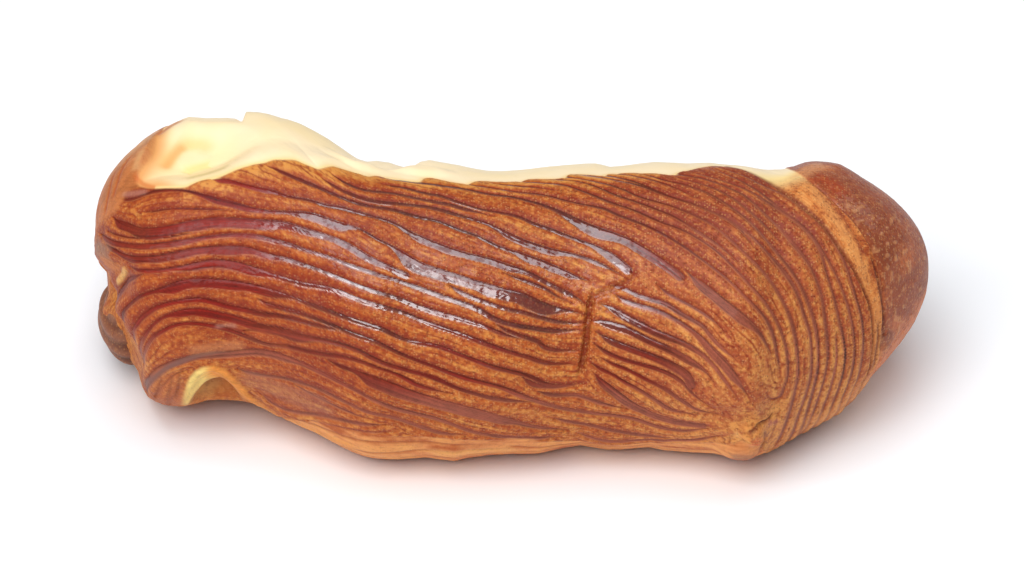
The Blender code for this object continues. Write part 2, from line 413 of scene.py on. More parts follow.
# Bands that start at the seam along the top or at the left end, from the top downwards
LONG_BANDS = (
    Band(
        ((-27, -7.5), (-20.6, -4.8), (-10, -3.5), (-5, -1.3), (0, 0.9), (4, 4.6), (8.2, 9.6), (11.4, 13.7))
        + ((16, 18.8), (20.4, 23), (25, 27.4), (30, 33), (34.3, 38.8)),
        wide=((11, 36, 2.3),),
        blunt=True,
    ),
    Band(
        ((35.1, 38), (39.2, 42.4), (43.5, 47.5), (47.5, 53.1), (50.2, 59.2), (51.8, 66.4), (52.2, 71)),
        wide=((37, 49, 2.4),),
    ),
    Band(
        ((-26, 0.5), (-22, 0.5), (-18, 2.3), (-14, 3.2), (-9.9, 6), (-5.7, 8.5), (0.7, 11.8), (5, 16.6))
        + ((10, 21.9), (13.3, 25.4), (18.7, 30.2), (21.1, 33), (24, 37.8)),
        wide=((18, 26, 2.1),),
        blunt=True,
    ),
    Band(((-36, 6.5), (-30.7, 6), (-24.8, 4.8), (-18, 6.3), (-12.5, 7.3), (-7.9, 9.5), (-3.9, 12.6))),
    Band(
        ((-38, 11), (-29.7, 10), (-21.6, 9.9), (-15, 10.2), (-9, 13), (-5, 15.2), (-2.1, 18), (2.6, 23.6))
        + ((7.7, 28.5), (13.3, 32.5), (18, 36), (22.2, 41.5)),
        wide=((-2, 10, 1.7),),
    ),
    Band(
        ((-49, 16.4), (-43, 16), (-36, 14.6), (-30, 13.2), (-24.4, 12.8), (-19.1, 14.8), (-14.6, 16.1))
        + ((-10, 19.5), (-6.8, 21.4), (-2.8, 25.4), (0, 27.6), (5, 32), (10, 37.7), (13.3, 41.3), (16, 43.9)),
        wide=((3, 14, 1.8),),
    ),
    Band(
        ((-61, 21), (-57.6, 22.5), (-52, 25.6), (-48, 26), (-45, 25.6), (-41, 23), (-37.6, 21.5))
        + ((-34.1, 18.6), (-29.8, 17.4), (-24.4, 18.8), (-20.4, 22.4), (-15, 26.1), (-10, 28.9))
        + ((-3.7, 31.6), (2.6, 36.4), (7.5, 42.2), (12.4, 48.3), (15, 53)),
        wide=((-60, -48, 1.4), (-20, 1, 1.6)),
    ),
    Band(
        ((-79.5, 19.4), (-76.5, 23.2), (-70.5, 23), (-65.5, 24.8), (-61.4, 27.9), (-57.3, 31.3))
        + ((-53.2, 33.7), (-49.2, 34.6), (-45.1, 32.2), (-41, 28.4), (-37, 26.5), (-30.7, 24.2))
        + ((-26.5, 27), (-22.8, 30.2), (-17.7, 35), (-12.6, 37.4), (-7, 40.4), (-1, 43.6), (2.6, 46))
        + ((7.5, 51.4), (12.4, 55), (15.1, 57)),
        0.8,
        wide=((-63, -51, 1.4), (-43, -33, 2.0), (-22, 9, 2.5)),
    ),
    Band(((-1.5, 37.3), (2.6, 40.4), (6.6, 44), (9.2, 48.3), (12.2, 52.3)), 0.7),
    Band(
        ((-80.3, 30.2), (-78.7, 33.3), (-75.6, 37.6), (-73.6, 38.9), (-69.5, 39), (-65.5, 38.1))
        + ((-61.4, 37.9), (-57.3, 38.2), (-53.2, 38.9), (-49.2, 38.6), (-45.1, 36.7), (-39, 34.3))
        + ((-32.9, 32.6), (-28, 34.8), (-21, 39.3)),
        wide=((-80, -60, 2.3), (-47, -26, 1.6)),
        blunt=True,
    ),
    Band(((-73.6, 32), (-68.5, 32.2), (-62.4, 33.8), (-56.3, 35.9)), 0.6),
    Band(
        ((-83, 36.6), (-80.1, 42.7), (-75.6, 45.5), (-70.5, 45.8), (-63.4, 44.8), (-57.3, 44.5))
        + ((-52.2, 44.7), (-48.2, 45), (-43.1, 43.5), (-34.9, 40.4), (-28, 40.1), (-20, 43.8))
        + ((-12.6, 47.4), (-7, 50.5), (-2.8, 54.9), (2.6, 58.5), (7.5, 61.1), (14.2, 63.3)),
        wide=((-81, -64, 1.3),),
    ),
    Band(((-81.3, 37.1), (-78.7, 40.9), (-75.6, 42.8), (-69.5, 43.5), (-63.4, 42.7)), 0.5),
    Band(((-12.6, 42.6), (-8.1, 46.1), (-1, 51), (2.6, 53.2), (7.5, 57.1), (12.4, 59.8), (14.9, 60.2))),
    Band(
        ((-81.9, 44.2), (-79.9, 47.3), (-78.1, 50.1), (-75.6, 51.1), (-71.6, 50.5), (-66.3, 49.2))
        + ((-61.4, 48.8), (-53.6, 49.4), (-48.8, 50.8), (-43.1, 48.9), (-37, 47.2), (-31.6, 46.3))
        + ((-24.8, 48), (-17, 52), (-10, 55.2), (-5, 58), (-1, 61.6), (2.5, 64.8)),
        wide=((-78, -48, 1.8),),
    ),
    Band(((-3.2, 57.8), (0, 60.7), (5.3, 65.1), (6.8, 68), (10, 70.4), (13.8, 72.1)), 0.9),
    Band(
        ((-77.5, 56.4), (-71.6, 56.6), (-66.5, 55.3), (-61, 54.1), (-56.1, 55.2), (-51.6, 57.3))
        + ((-47.6, 57.9), (-43.1, 56.2), (-36.6, 52.5), (-30.4, 51.5), (-23.5, 53.5), (-17, 57.4))
        + ((-10, 61.1), (-4.1, 65.3), (2.6, 71), (7.5, 75), (12.9, 77.8)),
        wide=((-66, -50, 1.9),),
    ),
    Band(
        ((-79.5, 107.6), (-79.9, 98.4), (-79.9, 90.2), (-79.3, 82.5), (-78.1, 76.4), (-75.2, 68.7))
        + ((-71.6, 64.6), (-67.5, 61.3), (-65.5, 60.6), (-62.4, 60.8), (-56.3, 62.6), (-49.2, 64.3))
        + ((-43.1, 62.8), (-33.5, 60.2), (-26.6, 60.6), (-21, 65), (-15, 66.4), (-8.1, 70.8))
        + ((-1.1, 76.3), (3.5, 79.8), (8, 85.5), (13, 88)),
        wide=((-70, -46, 2.3),),
    ),
    Band(
        ((-51, 69.6), (-48, 70.2), (-42, 67.8), (-36, 66), (-30.4, 65.6), (-26.6, 66.9), (-22, 71))
        + ((-17.5, 74.3), (-11.7, 77.9), (-5, 81.8), (-0.5, 85.4), (3.5, 90.7), (6.8, 95.3), (11.1, 99.6))
        + ((16.9, 103), (24.5, 106.3), (30, 110.5), (35, 110.9), (39.6, 107.6)),
    ),
    Band(
        ((-77.5, 104), (-77.3, 96), (-76.9, 88.8), (-75.8, 82.4), (-74.6, 77.7), (-71.6, 71.9))
        + ((-67.5, 69), (-63.4, 68.2), (-60.4, 69.7), (-57.3, 72.2), (-53.2, 73.7), (-50.2, 74.4))
        + ((-46.1, 73), (-43.1, 71), (-37, 68.2), (-33, 66.8)),
        wide=((-66, -48, 1.3),),
    ),
    Band(
        ((-76.2, 113.4), (-76, 103.9), (-75.4, 94.9), (-74.4, 88.2), (-72, 79.6), (-68.5, 74.5))
        + ((-63.4, 73), (-58.3, 75.7), (-52.2, 79), (-49.2, 79.4), (-43.1, 76.9), (-39.4, 74.8))
        + ((-34.1, 71.8), (-30.4, 71.6), (-27.3, 73.7), (-21, 77.4), (-15.3, 80.3), (-9.4, 85.6))
        + ((-2.5, 89.6), (4.8, 94.4)),
        wide=((-68, -42, 1.9),),
    ),
    Band(
        ((-75.4, 114), (-75, 103.5), (-74.2, 95.3), (-73.2, 89.5), (-71.6, 84.5), (-68.3, 79.5))
        + ((-64.2, 78.6), (-60.2, 80.4), (-56.1, 83.3), (-50.2, 87.4), (-47.1, 86.4), (-43.1, 83.4))
        + ((-38.5, 80.3), (-34.8, 77.4), (-31, 76), (-27, 77.4), (-22.2, 80.4), (-18, 84.5), (-12, 88.4)),
        0.9,
    ),
    Band(((-53.9, 83.8), (-50.8, 82), (-45.1, 80.5), (-39, 76.9)), 0.9),
    Band(
        ((-37, 82), (-31, 80.8), (-26.5, 82.4), (-20.4, 87.2), (-15, 91), (-10, 94), (-4.6, 97.5), (0, 102.5))
        + ((3.5, 107.5), (8, 111.5), (11.6, 114.2)),
        wide=((-30, 0, 2.7),),
    ),
    Band(
        ((-73.8, 140), (-74.2, 124.3), (-73.2, 113), (-72, 106.7), (-70.5, 102.3), (-68.5, 98.4))
        + ((-66.5, 96.1), (-63.4, 94.3), (-57.3, 94.1), (-51.2, 91.7), (-46.1, 90.3), (-40, 88.9))
        + ((-34.8, 88.9), (-30.7, 89.9), (-24.1, 95.6), (-19.8, 98.6), (-15.4, 101.4), (-11, 105.8))
        + ((-7.3, 109.5), (-1.3, 113.4), (5.4, 116), (9.5, 118.4)),
        wide=((-75, -44, 1.7),),
    ),
    Band(
        ((-55.3, 104.4), (-53.2, 105.8), (-50.2, 105.7), (-47.1, 103.8), (-41, 99.1), (-34.9, 98))
        + ((-29.8, 99.4), (-24.4, 101.6), (-20.6, 105), (-14.8, 109.8), (-9.2, 111.6)),
        0.9,
    ),
    Band(
        ((-50.4, 119.5), (-48.2, 122.5), (-45.1, 120.4), (-42, 116.6), (-39, 113.3), (-35.9, 110.8))
        + ((-31, 108), (-25.4, 107)),
        0.9,
    ),
    Band(((-44, 103.6), (-38.6, 103.8), (-33.5, 103.6), (-28, 104.6)), 0.7),
    Band(((-41, 121), (-37.3, 117.5), (-34.1, 114.4), (-31, 112.6), (-24.8, 111)), 0.8),
)

# Bands to the right of the pressed crease, which end at the pinched tail
TAIL_BANDS = (
    Band(
        ((20, 45), (22.8, 45.9), (25.9, 48.6), (30.9, 51), (34, 54), (38.4, 57.7), (40.3, 61.6))
        + ((45.3, 71.2),),
    ),
    Band(((29.2, 44.4), (32.7, 48.2), (36.3, 51), (40.4, 55.1), (42.9, 60.7)), 0.7),
    Band(
        ((20.9, 49.2), (25, 52), (30, 54.5), (36.5, 60.7), (40, 65.5), (43.5, 71.5), (46, 79), (47.6, 87)),
        wide=((39, 47, 2.0),),
    ),
    Band(
        ((17.8, 52.5), (20.9, 54), (25, 58.3), (30, 62.8), (36.5, 67), (40.2, 72), (43, 79), (45.4, 88)),
        wide=((21, 38, 1.5),),
    ),
    Band(
        ((16.2, 59.5), (18.7, 59), (22.9, 61), (27.6, 65.5), (31.9, 69), (36.5, 73), (39, 76.4))
        + ((40.6, 81.7),),
        wide=((18, 38, 1.5),),
    ),
    Band(
        ((17.1, 63.8), (21.3, 67.3), (25, 70.2), (28.7, 72.6), (34.1, 76.6), (36.2, 80), (37, 84)),
        wide=((20, 37, 1.9),),
        blunt=True,
    ),
    Band(((16.6, 69), (22, 74.5), (28, 77.7), (32, 80.4), (35, 84), (37, 89), (40, 94)), 0.9),
    Band(((18.2, 75.2), (23.2, 79.2), (27.6, 84), (31.4, 88), (34, 91.8), (38, 97), (42, 99.5)), 0.9),
    Band(((16.2, 77.2), (20.2, 81.6), (22.7, 85.1), (26, 89), (29.8, 94.6), (32.5, 98.6), (37, 100.5)), 0.9),
    Band(
        ((16.6, 82), (18.7, 85.5), (20.9, 89.4), (22.9, 93.4), (25, 97.5), (27.1, 100.2), (28.9, 102.6))
        + ((31.6, 104.3), (35, 105.4), (38.6, 105)),
        wide=((17, 38, 1.7),),
        blunt=True,
    ),
    Band(((5.3, 88.5), (9, 91), (13.3, 92), (17.4, 96), (20.9, 99.6), (23.4, 101))),
    Band(((2, 80), (6, 84.5), (10.4, 86.3), (14.6, 87)), 1.2),
    Band(((8.6, 105.5), (12.6, 108.4), (16.9, 111.4), (21.6, 114.4), (27, 117.5), (33, 118)), 0.9),
    Band(((13.5, 117.5), (18, 121), (24, 121.4), (30, 120), (36.5, 117), (42, 112)), 0.9),
    Band(((55.4, 82), (55, 88), (54.2, 91.6), (53, 92.2), (52, 90), (51.5, 86)), 0.8),
)

# Bands down the lower lobe of the folded left end
LEFT_BANDS = (
    Band(
        ((-82.2, 118.6), (-82.8, 107.7), (-83, 95.4), (-82.6, 83.6), (-81.7, 74.5), (-80.7, 68.7))
        + ((-79.3, 63.7), (-77.7, 60.9), (-73.6, 58.1)),
        1.4,
    ),
    Band(((-71.6, 126), (-70.4, 116), (-68.2, 107), (-65.6, 103)), 0.4),
    Band(((-69, 136), (-68.4, 124), (-67.2, 115)), 0.4),
)

# Guide lines of the arcs that wind round the right end, from the nose inwards
NOSE_LINE = (
    ((41.6, -28.5), (45.6, -25), (49.8, -19), (53, -11), (56.2, 0), (59.4, 11), (63, 21), (66.4, 33))
    + ((68.8, 42), (70.8, 53), (72.2, 64), (72.8, 78), (72.7, 93), (72.2, 106), (71.2, 116), (70, 132))
    + ((69, 152),)
)
ARC_GUIDES = (
    NOSE_LINE,
    ((42.4, -18.5), (46.6, -11.5), (52, -0.5), (57, 14), (62, 30), (66.1, 48), (68.6, 68), (69.2, 88))
    + ((68, 106), (66, 124), (64, 152)),
    ((30, -13), (35.6, -12), (40.3, -9), (45.6, -3), (49.8, 5), (53.5, 14), (56.6, 25), (59.8, 37))
    + ((62, 49.5), (63, 62), (63.7, 83), (62, 104), (60.8, 114), (59, 132), (58, 152)),
    ((26.5, -11.5), (30.9, -6.3), (35.6, -3.5), (40, 0.5), (44.5, 7), (48.5, 14), (52, 23), (55.5, 34))
    + ((58.3, 46), (60.3, 58), (61.5, 70), (61.7, 84), (60.6, 100), (59.2, 116), (57, 152)),
    ((12.4, -16.8), (17.1, -13), (20.3, -9.4), (25.9, -2.6), (31.2, 4.2), (36.5, 7.5), (42.4, 12))
    + ((46.6, 17), (50.8, 25), (54.5, 35), (57.2, 46), (58.7, 57), (60, 67), (60.4, 78), (60.2, 88))
    + ((59, 100), (57.4, 114), (55, 150)),
    ((8.7, -12.4), (12.1, -9.6), (17.8, -3.8), (22.1, 0.9), (25.6, 5.6), (30.8, 9.2), (36, 13))
    + ((40.3, 17), (44.5, 23.5), (49.3, 32), (52.4, 40), (55, 50.6), (56.6, 61), (57.4, 71), (57.7, 82))
    + ((57, 92), (56, 103), (55, 113), (53, 130)),
    ((1.5, -10.6), (5.9, -7.2), (10.2, -3.5), (15, 3), (19.3, 8.4), (24.5, 12.8), (29.8, 18), (35, 21.4))
    + ((40.3, 27), (44, 33), (47.7, 40), (50.8, 47), (53.5, 57), (55.2, 68), (55.6, 78), (55.2, 85))
    + ((54, 92),),
    ((-9.2, -7.2), (-3.7, -5.3), (0, -2.8), (6.2, 1.6), (12.4, 7.8), (18.2, 11.3), (22.4, 15.7), (30, 22.3))
    + ((36.5, 29.4), (42.8, 37.3), (46.5, 43.5), (50.4, 51), (52.6, 59), (53.7, 70), (54, 80)),
)

# Edges between parts of the crust, each with what lies below it on its right hand side
SEAM_LINE = (
    ((-68.5, -64), (-70.2, -50), (-71.6, -34), (-73, -18), (-73.9, -2), (-75.2, 9), (-75.6, 17))
    + ((-74, 20.3), (-72, 21.8), (-69.5, 22.8))
    + ((-67.1, 23.6), (-65.5, 23.8), (-64, 22.8), (-61.8, 21.8), (-58.1, 20.9), (-54.9, 18.4), (-50.8, 15.9))
    + ((-48.2, 13.4), (-45.5, 10.5), (-43.1, 8.4), (-39, 7.9), (-37.4, 4.1), (-35.9, 0.8), (-33.9, -1.2))
    + ((-30.8, -2.8), (-28.8, -3.4), (-27.2, -6), (-22.7, -5.3), (-18.6, -5.2), (-17, -9.1), (-14.6, -8.7))
    + ((-9.3, -7), (-7.2, -10.3), (-4.4, -11.8), (1.3, -11), (3.8, -12.7), (9.9, -10.2), (11.9, -14.4))
    + ((15, -13.4), (18, -11.2), (20.5, -13.6), (28.2, -12.8), (32.3, -12.2), (34.3, -15.9), (36.3, -19.2))
    + ((40, -26), (43.4, -28.4), (48, -33), (56, -44))
)
HOOD_LINE = (
    ((58, -64), (56, -50), (55.8, -40), (56.6, -28), (58.6, -15), (61.6, -2), (65.4, 7.5))
    + ((69.6, 18), (72.4, 30), (73.9, 42))
    + ((74.6, 55), (74.9, 70), (74.5, 86), (74.4, 104), (73.6, 124), (72.6, 152), (73, 180), (72, 210))
    + ((69, 240), (64, 270), (60, 288), (58, 296))
)
LOWER_LINE = (
    ((-49.5, 140), (-46.2, 131), (-43, 124), (-38.5, 118.5), (-33, 114.6), (-24.8, 112.6), (-15, 113))
    + ((-6, 114.4), (2, 117), (10, 121), (17, 124.6), (24, 124.6), (30, 122.6), (38, 118.6), (44, 113.6))
    + ((47.8, 109.6), (50, 115), (51.4, 130), (52, 152))
)

# The arch of the curled lower lobe: the outer and inner edges of its golden lip
ARCH_OUTER = (
    ((-67, 136), (-66.5, 121.6), (-65.5, 109.9), (-63.8, 102.6), (-61.2, 100.2), (-58.9, 101.9))
    + ((-56.3, 108), (-53.4, 119), (-50.8, 132), (-49.6, 140))
)
ARCH_INNER = (
    ((-66, 140), (-65.4, 127.5), (-64.1, 118.9), (-62.4, 112.5), (-60.6, 109.4), (-58.6, 109.0))
    + ((-57.1, 112.4), (-55.5, 120.6), (-54.2, 131), (-53.6, 140))
)

# How far the top outline lies below the rolled form, and how far the bottom outline stands
# out from it: x and millimetres
TOP_OUTLINE = (
    ((-84, 0.9), (-82, 2.0), (-79.5, 2.7), (-73, 2.7), (-66, 1.95), (-62.5, 2.9), (-58.3, 3.4), (-56.5, 3.8))
    + ((-55.2, 4.6), (-54.3, 2.5), (-52, 2.6), (-47, 3.0), (-43, 2.5), (-37, 2.65), (-34.9, 2.9))
    + ((-31, 3.5), (-29.2, 3.4), (-27.2, 2.7), (-24.7, 2.6), (-20.7, 3.4), (-18.4, 1.6), (-16.6, 1.05))
    + ((-10.5, 1.45), (-5, 2.0), (4, 1.95), (12, 1.75), (17, 1.7), (20, 2.45), (22, 2.3), (29, 1.4))
    + ((36, 1.1), (40.4, 0.35), (47, 0.1), (53.6, -0.2), (57.5, 0.5), (62, 0.1), (66.5, -0.55), (71, 0))
)
BOTTOM_OUTLINE = (
    ((-78, 0.0), (-76.5, 0.0), (-74.8, 1.2), (-73.2, 1.8), (-70, 1.9), (-66.7, 1.4), (-62, 0.2))
    + ((-57, 0.4), (-52, 0.9), (-46, 2.1), (-40.2, 1.85), (-34.5, 2.25), (-28.8, 2.45), (-23, 2.5))
    + ((-17.4, 1.95), (-11.7, 2.4), (-8.9, 1.7), (-4, 1.15), (0, 1.2), (5.4, 1.85), (13.9, 1.05))
    + ((19.6, 1.9), (22.5, 1.8), (28.2, 1.1), (31, 1.45), (36.7, 1.05), (41, 0.5), (48, 0.9))
    + ((52, 0.65), (56.7, 0.2), (62, 0.7), (66, 0.8), (70, 0.1), (74, -0.9), (78, -0.7), (82, 0))
)


@dataclass
class Stamp:
    """Distances on the skin from lines drawn on it, at every point of the grid.

    The fields under and over hold the distance from the nearest line above a point and the
    nearest below it. The fields nearest, across and half hold the distance from the nearest
    line's edge, the one from its middle with its side as a sign, and half its width. The
    last two hold the lines' direction, as the cosine and sine of twice its angle.

    Attributes:
        form: the rolled form whose skin it is.
        reach: how far from a line distances are kept, in millimetres.
        step: length of the straight pieces that a line is cut into.
        felt: how far off a line's direction is felt.
    """

    form: RolledForm
    reach: float = 4.5
    step: float = 0.8
    felt: float = 1.6

    def __post_init__(self) -> None:
        """Makes the empty fields."""
        shape = (len(self.form.angles), len(self.form.along))
        self.under = np.full(shape, self.reach)
        self.over = np.full(shape, self.reach)
        self.nearest = np.full(shape, self.reach)
        self.across = np.full(shape, self.reach)
        self.half = np.full(shape, 0.4)
        self.double_cos = np.full(shape, 1e-4)
        self.double_sin = np.zeros(shape)

    def scale_at(self, along: np.ndarray) -> np.ndarray:
        """Millimetres to a degree round the section at lengths along the skin."""
        return np.maximum(self.form.meridian(along)[1], 3.0) * math.radians(1)

    def chain(self, route: np.ndarray) -> np.ndarray:
        """Cuts a smooth line into pieces of the same length.

        Args:
            route: (x, angle) of the line's points, close together.

        Returns:
            Rows of length along the skin, angle, and length walked along the line.
        """
        along = self.form.along_at(route[:, 0])
        scale = self.scale_at(along)
        flat = np.column_stack([along, route[:, 1] * scale.mean()])
        walked = walk(flat)
        count = max(int(walked[-1] / self.step), 2)
        even = np.linspace(0, walked[-1], count + 1)
        return np.column_stack([np.interp(even, walked, along), np.interp(even, walked, route[:, 1]), even])

    def press(self, chain: np.ndarray, halves: np.ndarray) -> None:
        """Draws one line into the fields.

        Formula: for each straight piece, the points near it take their distance to it less
        half the line's width, where that is less than what they have, apart for the points
        on its two sides.

        Args:
            chain: rows of length along, angle and length walked.
            halves: half the line's width at each row.
        """
        angles, alongs = self.form.angles, self.form.along
        scales = self.scale_at(0.5 * (chain[1:, 0] + chain[:-1, 0]))
        for a, b, half_a, half_b, scale in zip(chain, chain[1:], halves, halves[1:], scales):
            rows = slice(*np.searchsorted(angles, self.window(a[1], b[1], self.reach / scale)))
            columns = slice(*np.searchsorted(alongs, self.window(a[0], b[0], self.reach)))
            if rows.start >= rows.stop or columns.start >= columns.stop:
                continue
            du, da = alongs[None, columns] - a[0], (angles[rows, None] - a[1]) * scale
            dx, dy = b[0] - a[0], (b[1] - a[1]) * scale
            length = dx * dx + dy * dy + 1e-9
            t = np.clip((du * dx + da * dy) / length, 0, 1)
            gap = np.hypot(du - t * dx, da - t * dy)
            below = dx * da - dy * du > 0
            edge = gap - mix(half_a, half_b, t)
            for field_, side in ((self.under, below), (self.over, ~below)):
                part = field_[rows, columns]
                np.minimum(part, np.where(side, edge, self.reach), out=part)
            closer = edge < self.nearest[rows, columns]
            self.nearest[rows, columns][closer] = edge[closer]
            self.across[rows, columns][closer] = np.where(below, gap, -gap)[closer]
            self.half[rows, columns][closer] = mix(half_a, half_b, t)[closer]
            weight = bell(gap / self.felt)
            self.double_cos[rows, columns] += weight * (dx * dx - dy * dy) / length
            self.double_sin[rows, columns] += weight * 2 * dx * dy / length

    @staticmethod
    def window(first: float, second: float, margin: float) -> tuple[float, float]:
        """Lowest and highest of two values, with a margin."""
        return min(first, second) - margin, max(first, second) + margin

    def signed(self, route: Route, outside: np.ndarray) -> np.ndarray:
        """Distance from one line, positive on its right hand side.

        Args:
            route: (x, angle) of the line's points.
            outside: the sign of the points beyond the reach.

        Returns:
            The distance at each point, no more than the reach either way.
        """
        chain = self.chain(smooth_route(route, 8))
        self.press(chain, np.zeros(len(chain)))
        far = self.nearest >= self.reach - 1e-6
        return np.where(far, self.reach * outside, np.sign(self.across) * self.nearest)


@dataclass
class StripPattern:
    """The strips of dough that wind round the roll, and the glossy bands between them.

    Attributes:
        form: the rolled form.
        pitch: distance between the arcs round the right end.
        least_pitch: arcs closer than this run out.
        arc_width: how wide the bands of the arcs are.
        sway: how far a band strays from its route, in millimetres.
        taper: length over which a band's end is drawn out.
        uneven: how far a band's width strays, as a share of it.
        widening: length over which a band takes on the width of its wide stretch.
        back_pitch: degrees between the bands behind, where strips run along the roll.
        back_span: the angles between which they lie.
        back_reach: the x between which they run.
        flat_degree: millimetres to a degree, where the gap between guides is measured.
        stride: length of a step on a walk along the strips.
    """

    form: RolledForm
    pitch: float = 2.35
    least_pitch: float = 1.75
    arc_width: float = 0.75
    sway: float = 0.22
    taper: float = 7.0
    uneven: float = 0.30
    widening: float = 5.0
    back_pitch: float = 6.0
    back_span: tuple[float, float] = (160.0, 293.0)
    back_reach: tuple[float, float] = (-83.8, 72.0)
    flat_degree: float = 0.5
    stride: float = 0.25

    def __post_init__(self) -> None:
        """Draws every band."""
        self.stamp = Stamp(self.form)
        self.count = 0
        for band in (*LONG_BANDS, *TAIL_BANDS, *LEFT_BANDS):
            self.draw(smooth_route(band.route, 6), band)
        for first, second in zip(ARC_GUIDES, ARC_GUIDES[1:]):
            self.fill(smooth_route(first, 8), smooth_route(second, 8))
        for guide in ARC_GUIDES[1:-1]:
            self.draw(smooth_route(guide, 6), Band(guide, self.arc_width, centred=True))
        self.draw(smooth_route(ARC_GUIDES[-1], 6), Band(ARC_GUIDES[-1], self.arc_width))
        self.draw_back()
        self.flow = 0.5 * np.arctan2(blur(self.stamp.double_sin, 6), blur(self.stamp.double_cos, 6))

    def draw(self, route: np.ndarray, band: Band) -> None:
        """Draws one band along a smooth route.

        Formula: half the width is half the band's own, mixed to its wide stretch's over the
        widening, times a slow random share. It grows over its first three millimetres and
        falls to almost nothing over its drawn-out end. The line through its middle lies half
        the width to the right of the route, unless the band is centred on it.

        Args:
            route: (x, angle) of the route's points, close together.
            band: its widths.
        """
        self.count += 1
        chain = self.stamp.chain(route)
        walked = chain[:, 2]
        sway = cloud(Seed.BAND_SWAY + self.count, walked, np.full(len(walked), 3.3), 9.0, 2)
        chain[:, 1] += self.sway * sway / self.stamp.scale_at(chain[:, 0])
        width = np.full(len(walked), band.width)
        x = self.form.meridian(chain[:, 0])[0]
        for start, end, most in band.wide:
            share = ease((x - start) / self.widening + 0.5)
            if not band.blunt:
                share = share * ease((end - x) / self.widening + 0.5)
            width = mix(width, most, share)
        stray = cloud(Seed.BAND_WIDTH + self.count, walked, np.full(len(walked), 7.7), 6.0, 2)
        width = width * (1 + self.uneven * stray)
        ends = 1.0 if band.blunt else ease((walked[-1] - walked) / self.taper + 0.1)
        half = 0.5 * width * ends * ease(walked / 4 + 0.25)
        if not band.centred:
            scale = self.stamp.scale_at(chain[:, 0])
            dx, dy = np.gradient(chain[:, 0]), np.gradient(chain[:, 1]) * scale
            size = np.hypot(dx, dy) + 1e-9
            chain[:, 0] -= half * dy / size
            chain[:, 1] += half * dx / size / scale
        self.stamp.press(chain, half)

    def fill(self, first: np.ndarray, second: np.ndarray) -> None:
        """Draws arcs between two guides, as many as the gap between them takes.

        Formula: an arc keeps an even share of the gap among those that are still running,
        and it runs out where the gap leaves it less than the least pitch.

        Args:
            first: (x, angle) of one guide's points.
            second: those of the other.
        """
        share = np.linspace(0, 1, 240)
        shortest, margin = 20, 30
        lines = []
        for guide in (first, second):
            flat = np.column_stack([self.form.along_at(guide[:, 0]), guide[:, 1] * self.flat_degree])
            walked = walk(flat)
            lines.append([np.interp(share, walked / walked[-1], guide[:, c]) for c in (0, 1)])
        (x_a, angle_a), (x_b, angle_b) = lines
        flat_a = np.column_stack([x_a, angle_a * self.flat_degree])
        flat_b = np.column_stack([x_b, angle_b * self.flat_degree])
        gap = self.normal_gap(flat_a, flat_b)
        count = round(gap.max() / self.pitch) - 1
        order = sorted(range(count), key=lambda place: abs(place - (count - 1) / 2))
        running = np.zeros((count, len(share)), bool)
        for rank, place in enumerate(order):
            running[place] = gap > (rank + 2) * self.least_pitch
        ranks = np.cumsum(running, axis=0) / (running.sum(axis=0) + 1)
        for place in range(count):
            inside = np.flatnonzero(running[place])
            if len(inside) < shortest:
                continue
            kept = slice(inside[0], inside[-1] + 1)
            padded = np.pad(ranks[place, kept], margin, mode="edge")
            part = blur(padded[None], 200, 1)[0, margin:-margin]
            x = mix(x_a[kept], x_b[kept], part)
            angle = mix(angle_a[kept], angle_b[kept], part)
            self.draw(np.column_stack([x, angle]), Band((), self.arc_width, centred=True))

    @staticmethod
    def normal_gap(first: np.ndarray, second: np.ndarray) -> np.ndarray:
        """Least distance from each point of one line to the other line's points."""
        apart = np.hypot(first[:, None, 0] - second[None, :, 0], first[:, None, 1] - second[None, :, 1])
        return np.minimum(apart.min(axis=1), apart.min(axis=0))

    def draw_back(self) -> None:
        """Draws the bands behind, which run along the roll and bend towards its ends.

        Formula: a band's angle is its own place's, plus a bend at each end, a slow random
        sway and a share of its distance from the middle one, which gathers the bands at the
        ends. Where it starts and how wide it is differ from band to band.
        """
        start, end = self.back_span
        first, last = self.back_reach
        x = np.linspace(first, last, 60)
        middle = 0.5 * (start + end)
        for place, angle in enumerate(np.arange(start, end, self.back_pitch)):
            bend = 16 * falling(x, -58, 26) - 20 * rising(x, 40, 36)
            sway = 3.4 * cloud(Seed.BACK_SWAY, x, np.full(len(x), angle * 0.4), 30.0, 3)
            spread = (angle - middle) * 0.12 * (falling(x, -50, 30) + rising(x, 45, 30))
            route = np.column_stack([x, angle + bend + sway - spread - 0.05 * x])
            inset = 1.5 + 6 * ((place * 7) % 5) / 5
            width = 0.7 + 0.7 * ((place * 3) % 4) / 4
            self.draw(route[(x > first + inset) & (x < last - inset)], Band((), width))

    def pillow(self) -> tuple[np.ndarray, np.ndarray]:
        """Place across each strip from 0 at its upper edge to 1 at its lower, and its width."""
        width = np.maximum(self.stamp.under, 0) + np.maximum(self.stamp.over, 0)
        return np.clip(self.stamp.under, 0, None) / np.maximum(width, 1e-6), width

    def cell(self, r: np.ndarray, c: np.ndarray) -> tuple[np.ndarray, np.ndarray]:
        """Row and column of the grid's point nearest to each place, kept inside the grid.

        Args:
            r: rows, with fractions.
            c: columns, with fractions.

        Returns:
            The rows and the columns.
        """
        rows, columns = self.flow.shape
        row = np.clip(np.rint(r), 0, rows - 1).astype(int)
        return row, np.clip(np.rint(c), 0, columns - 1).astype(int)

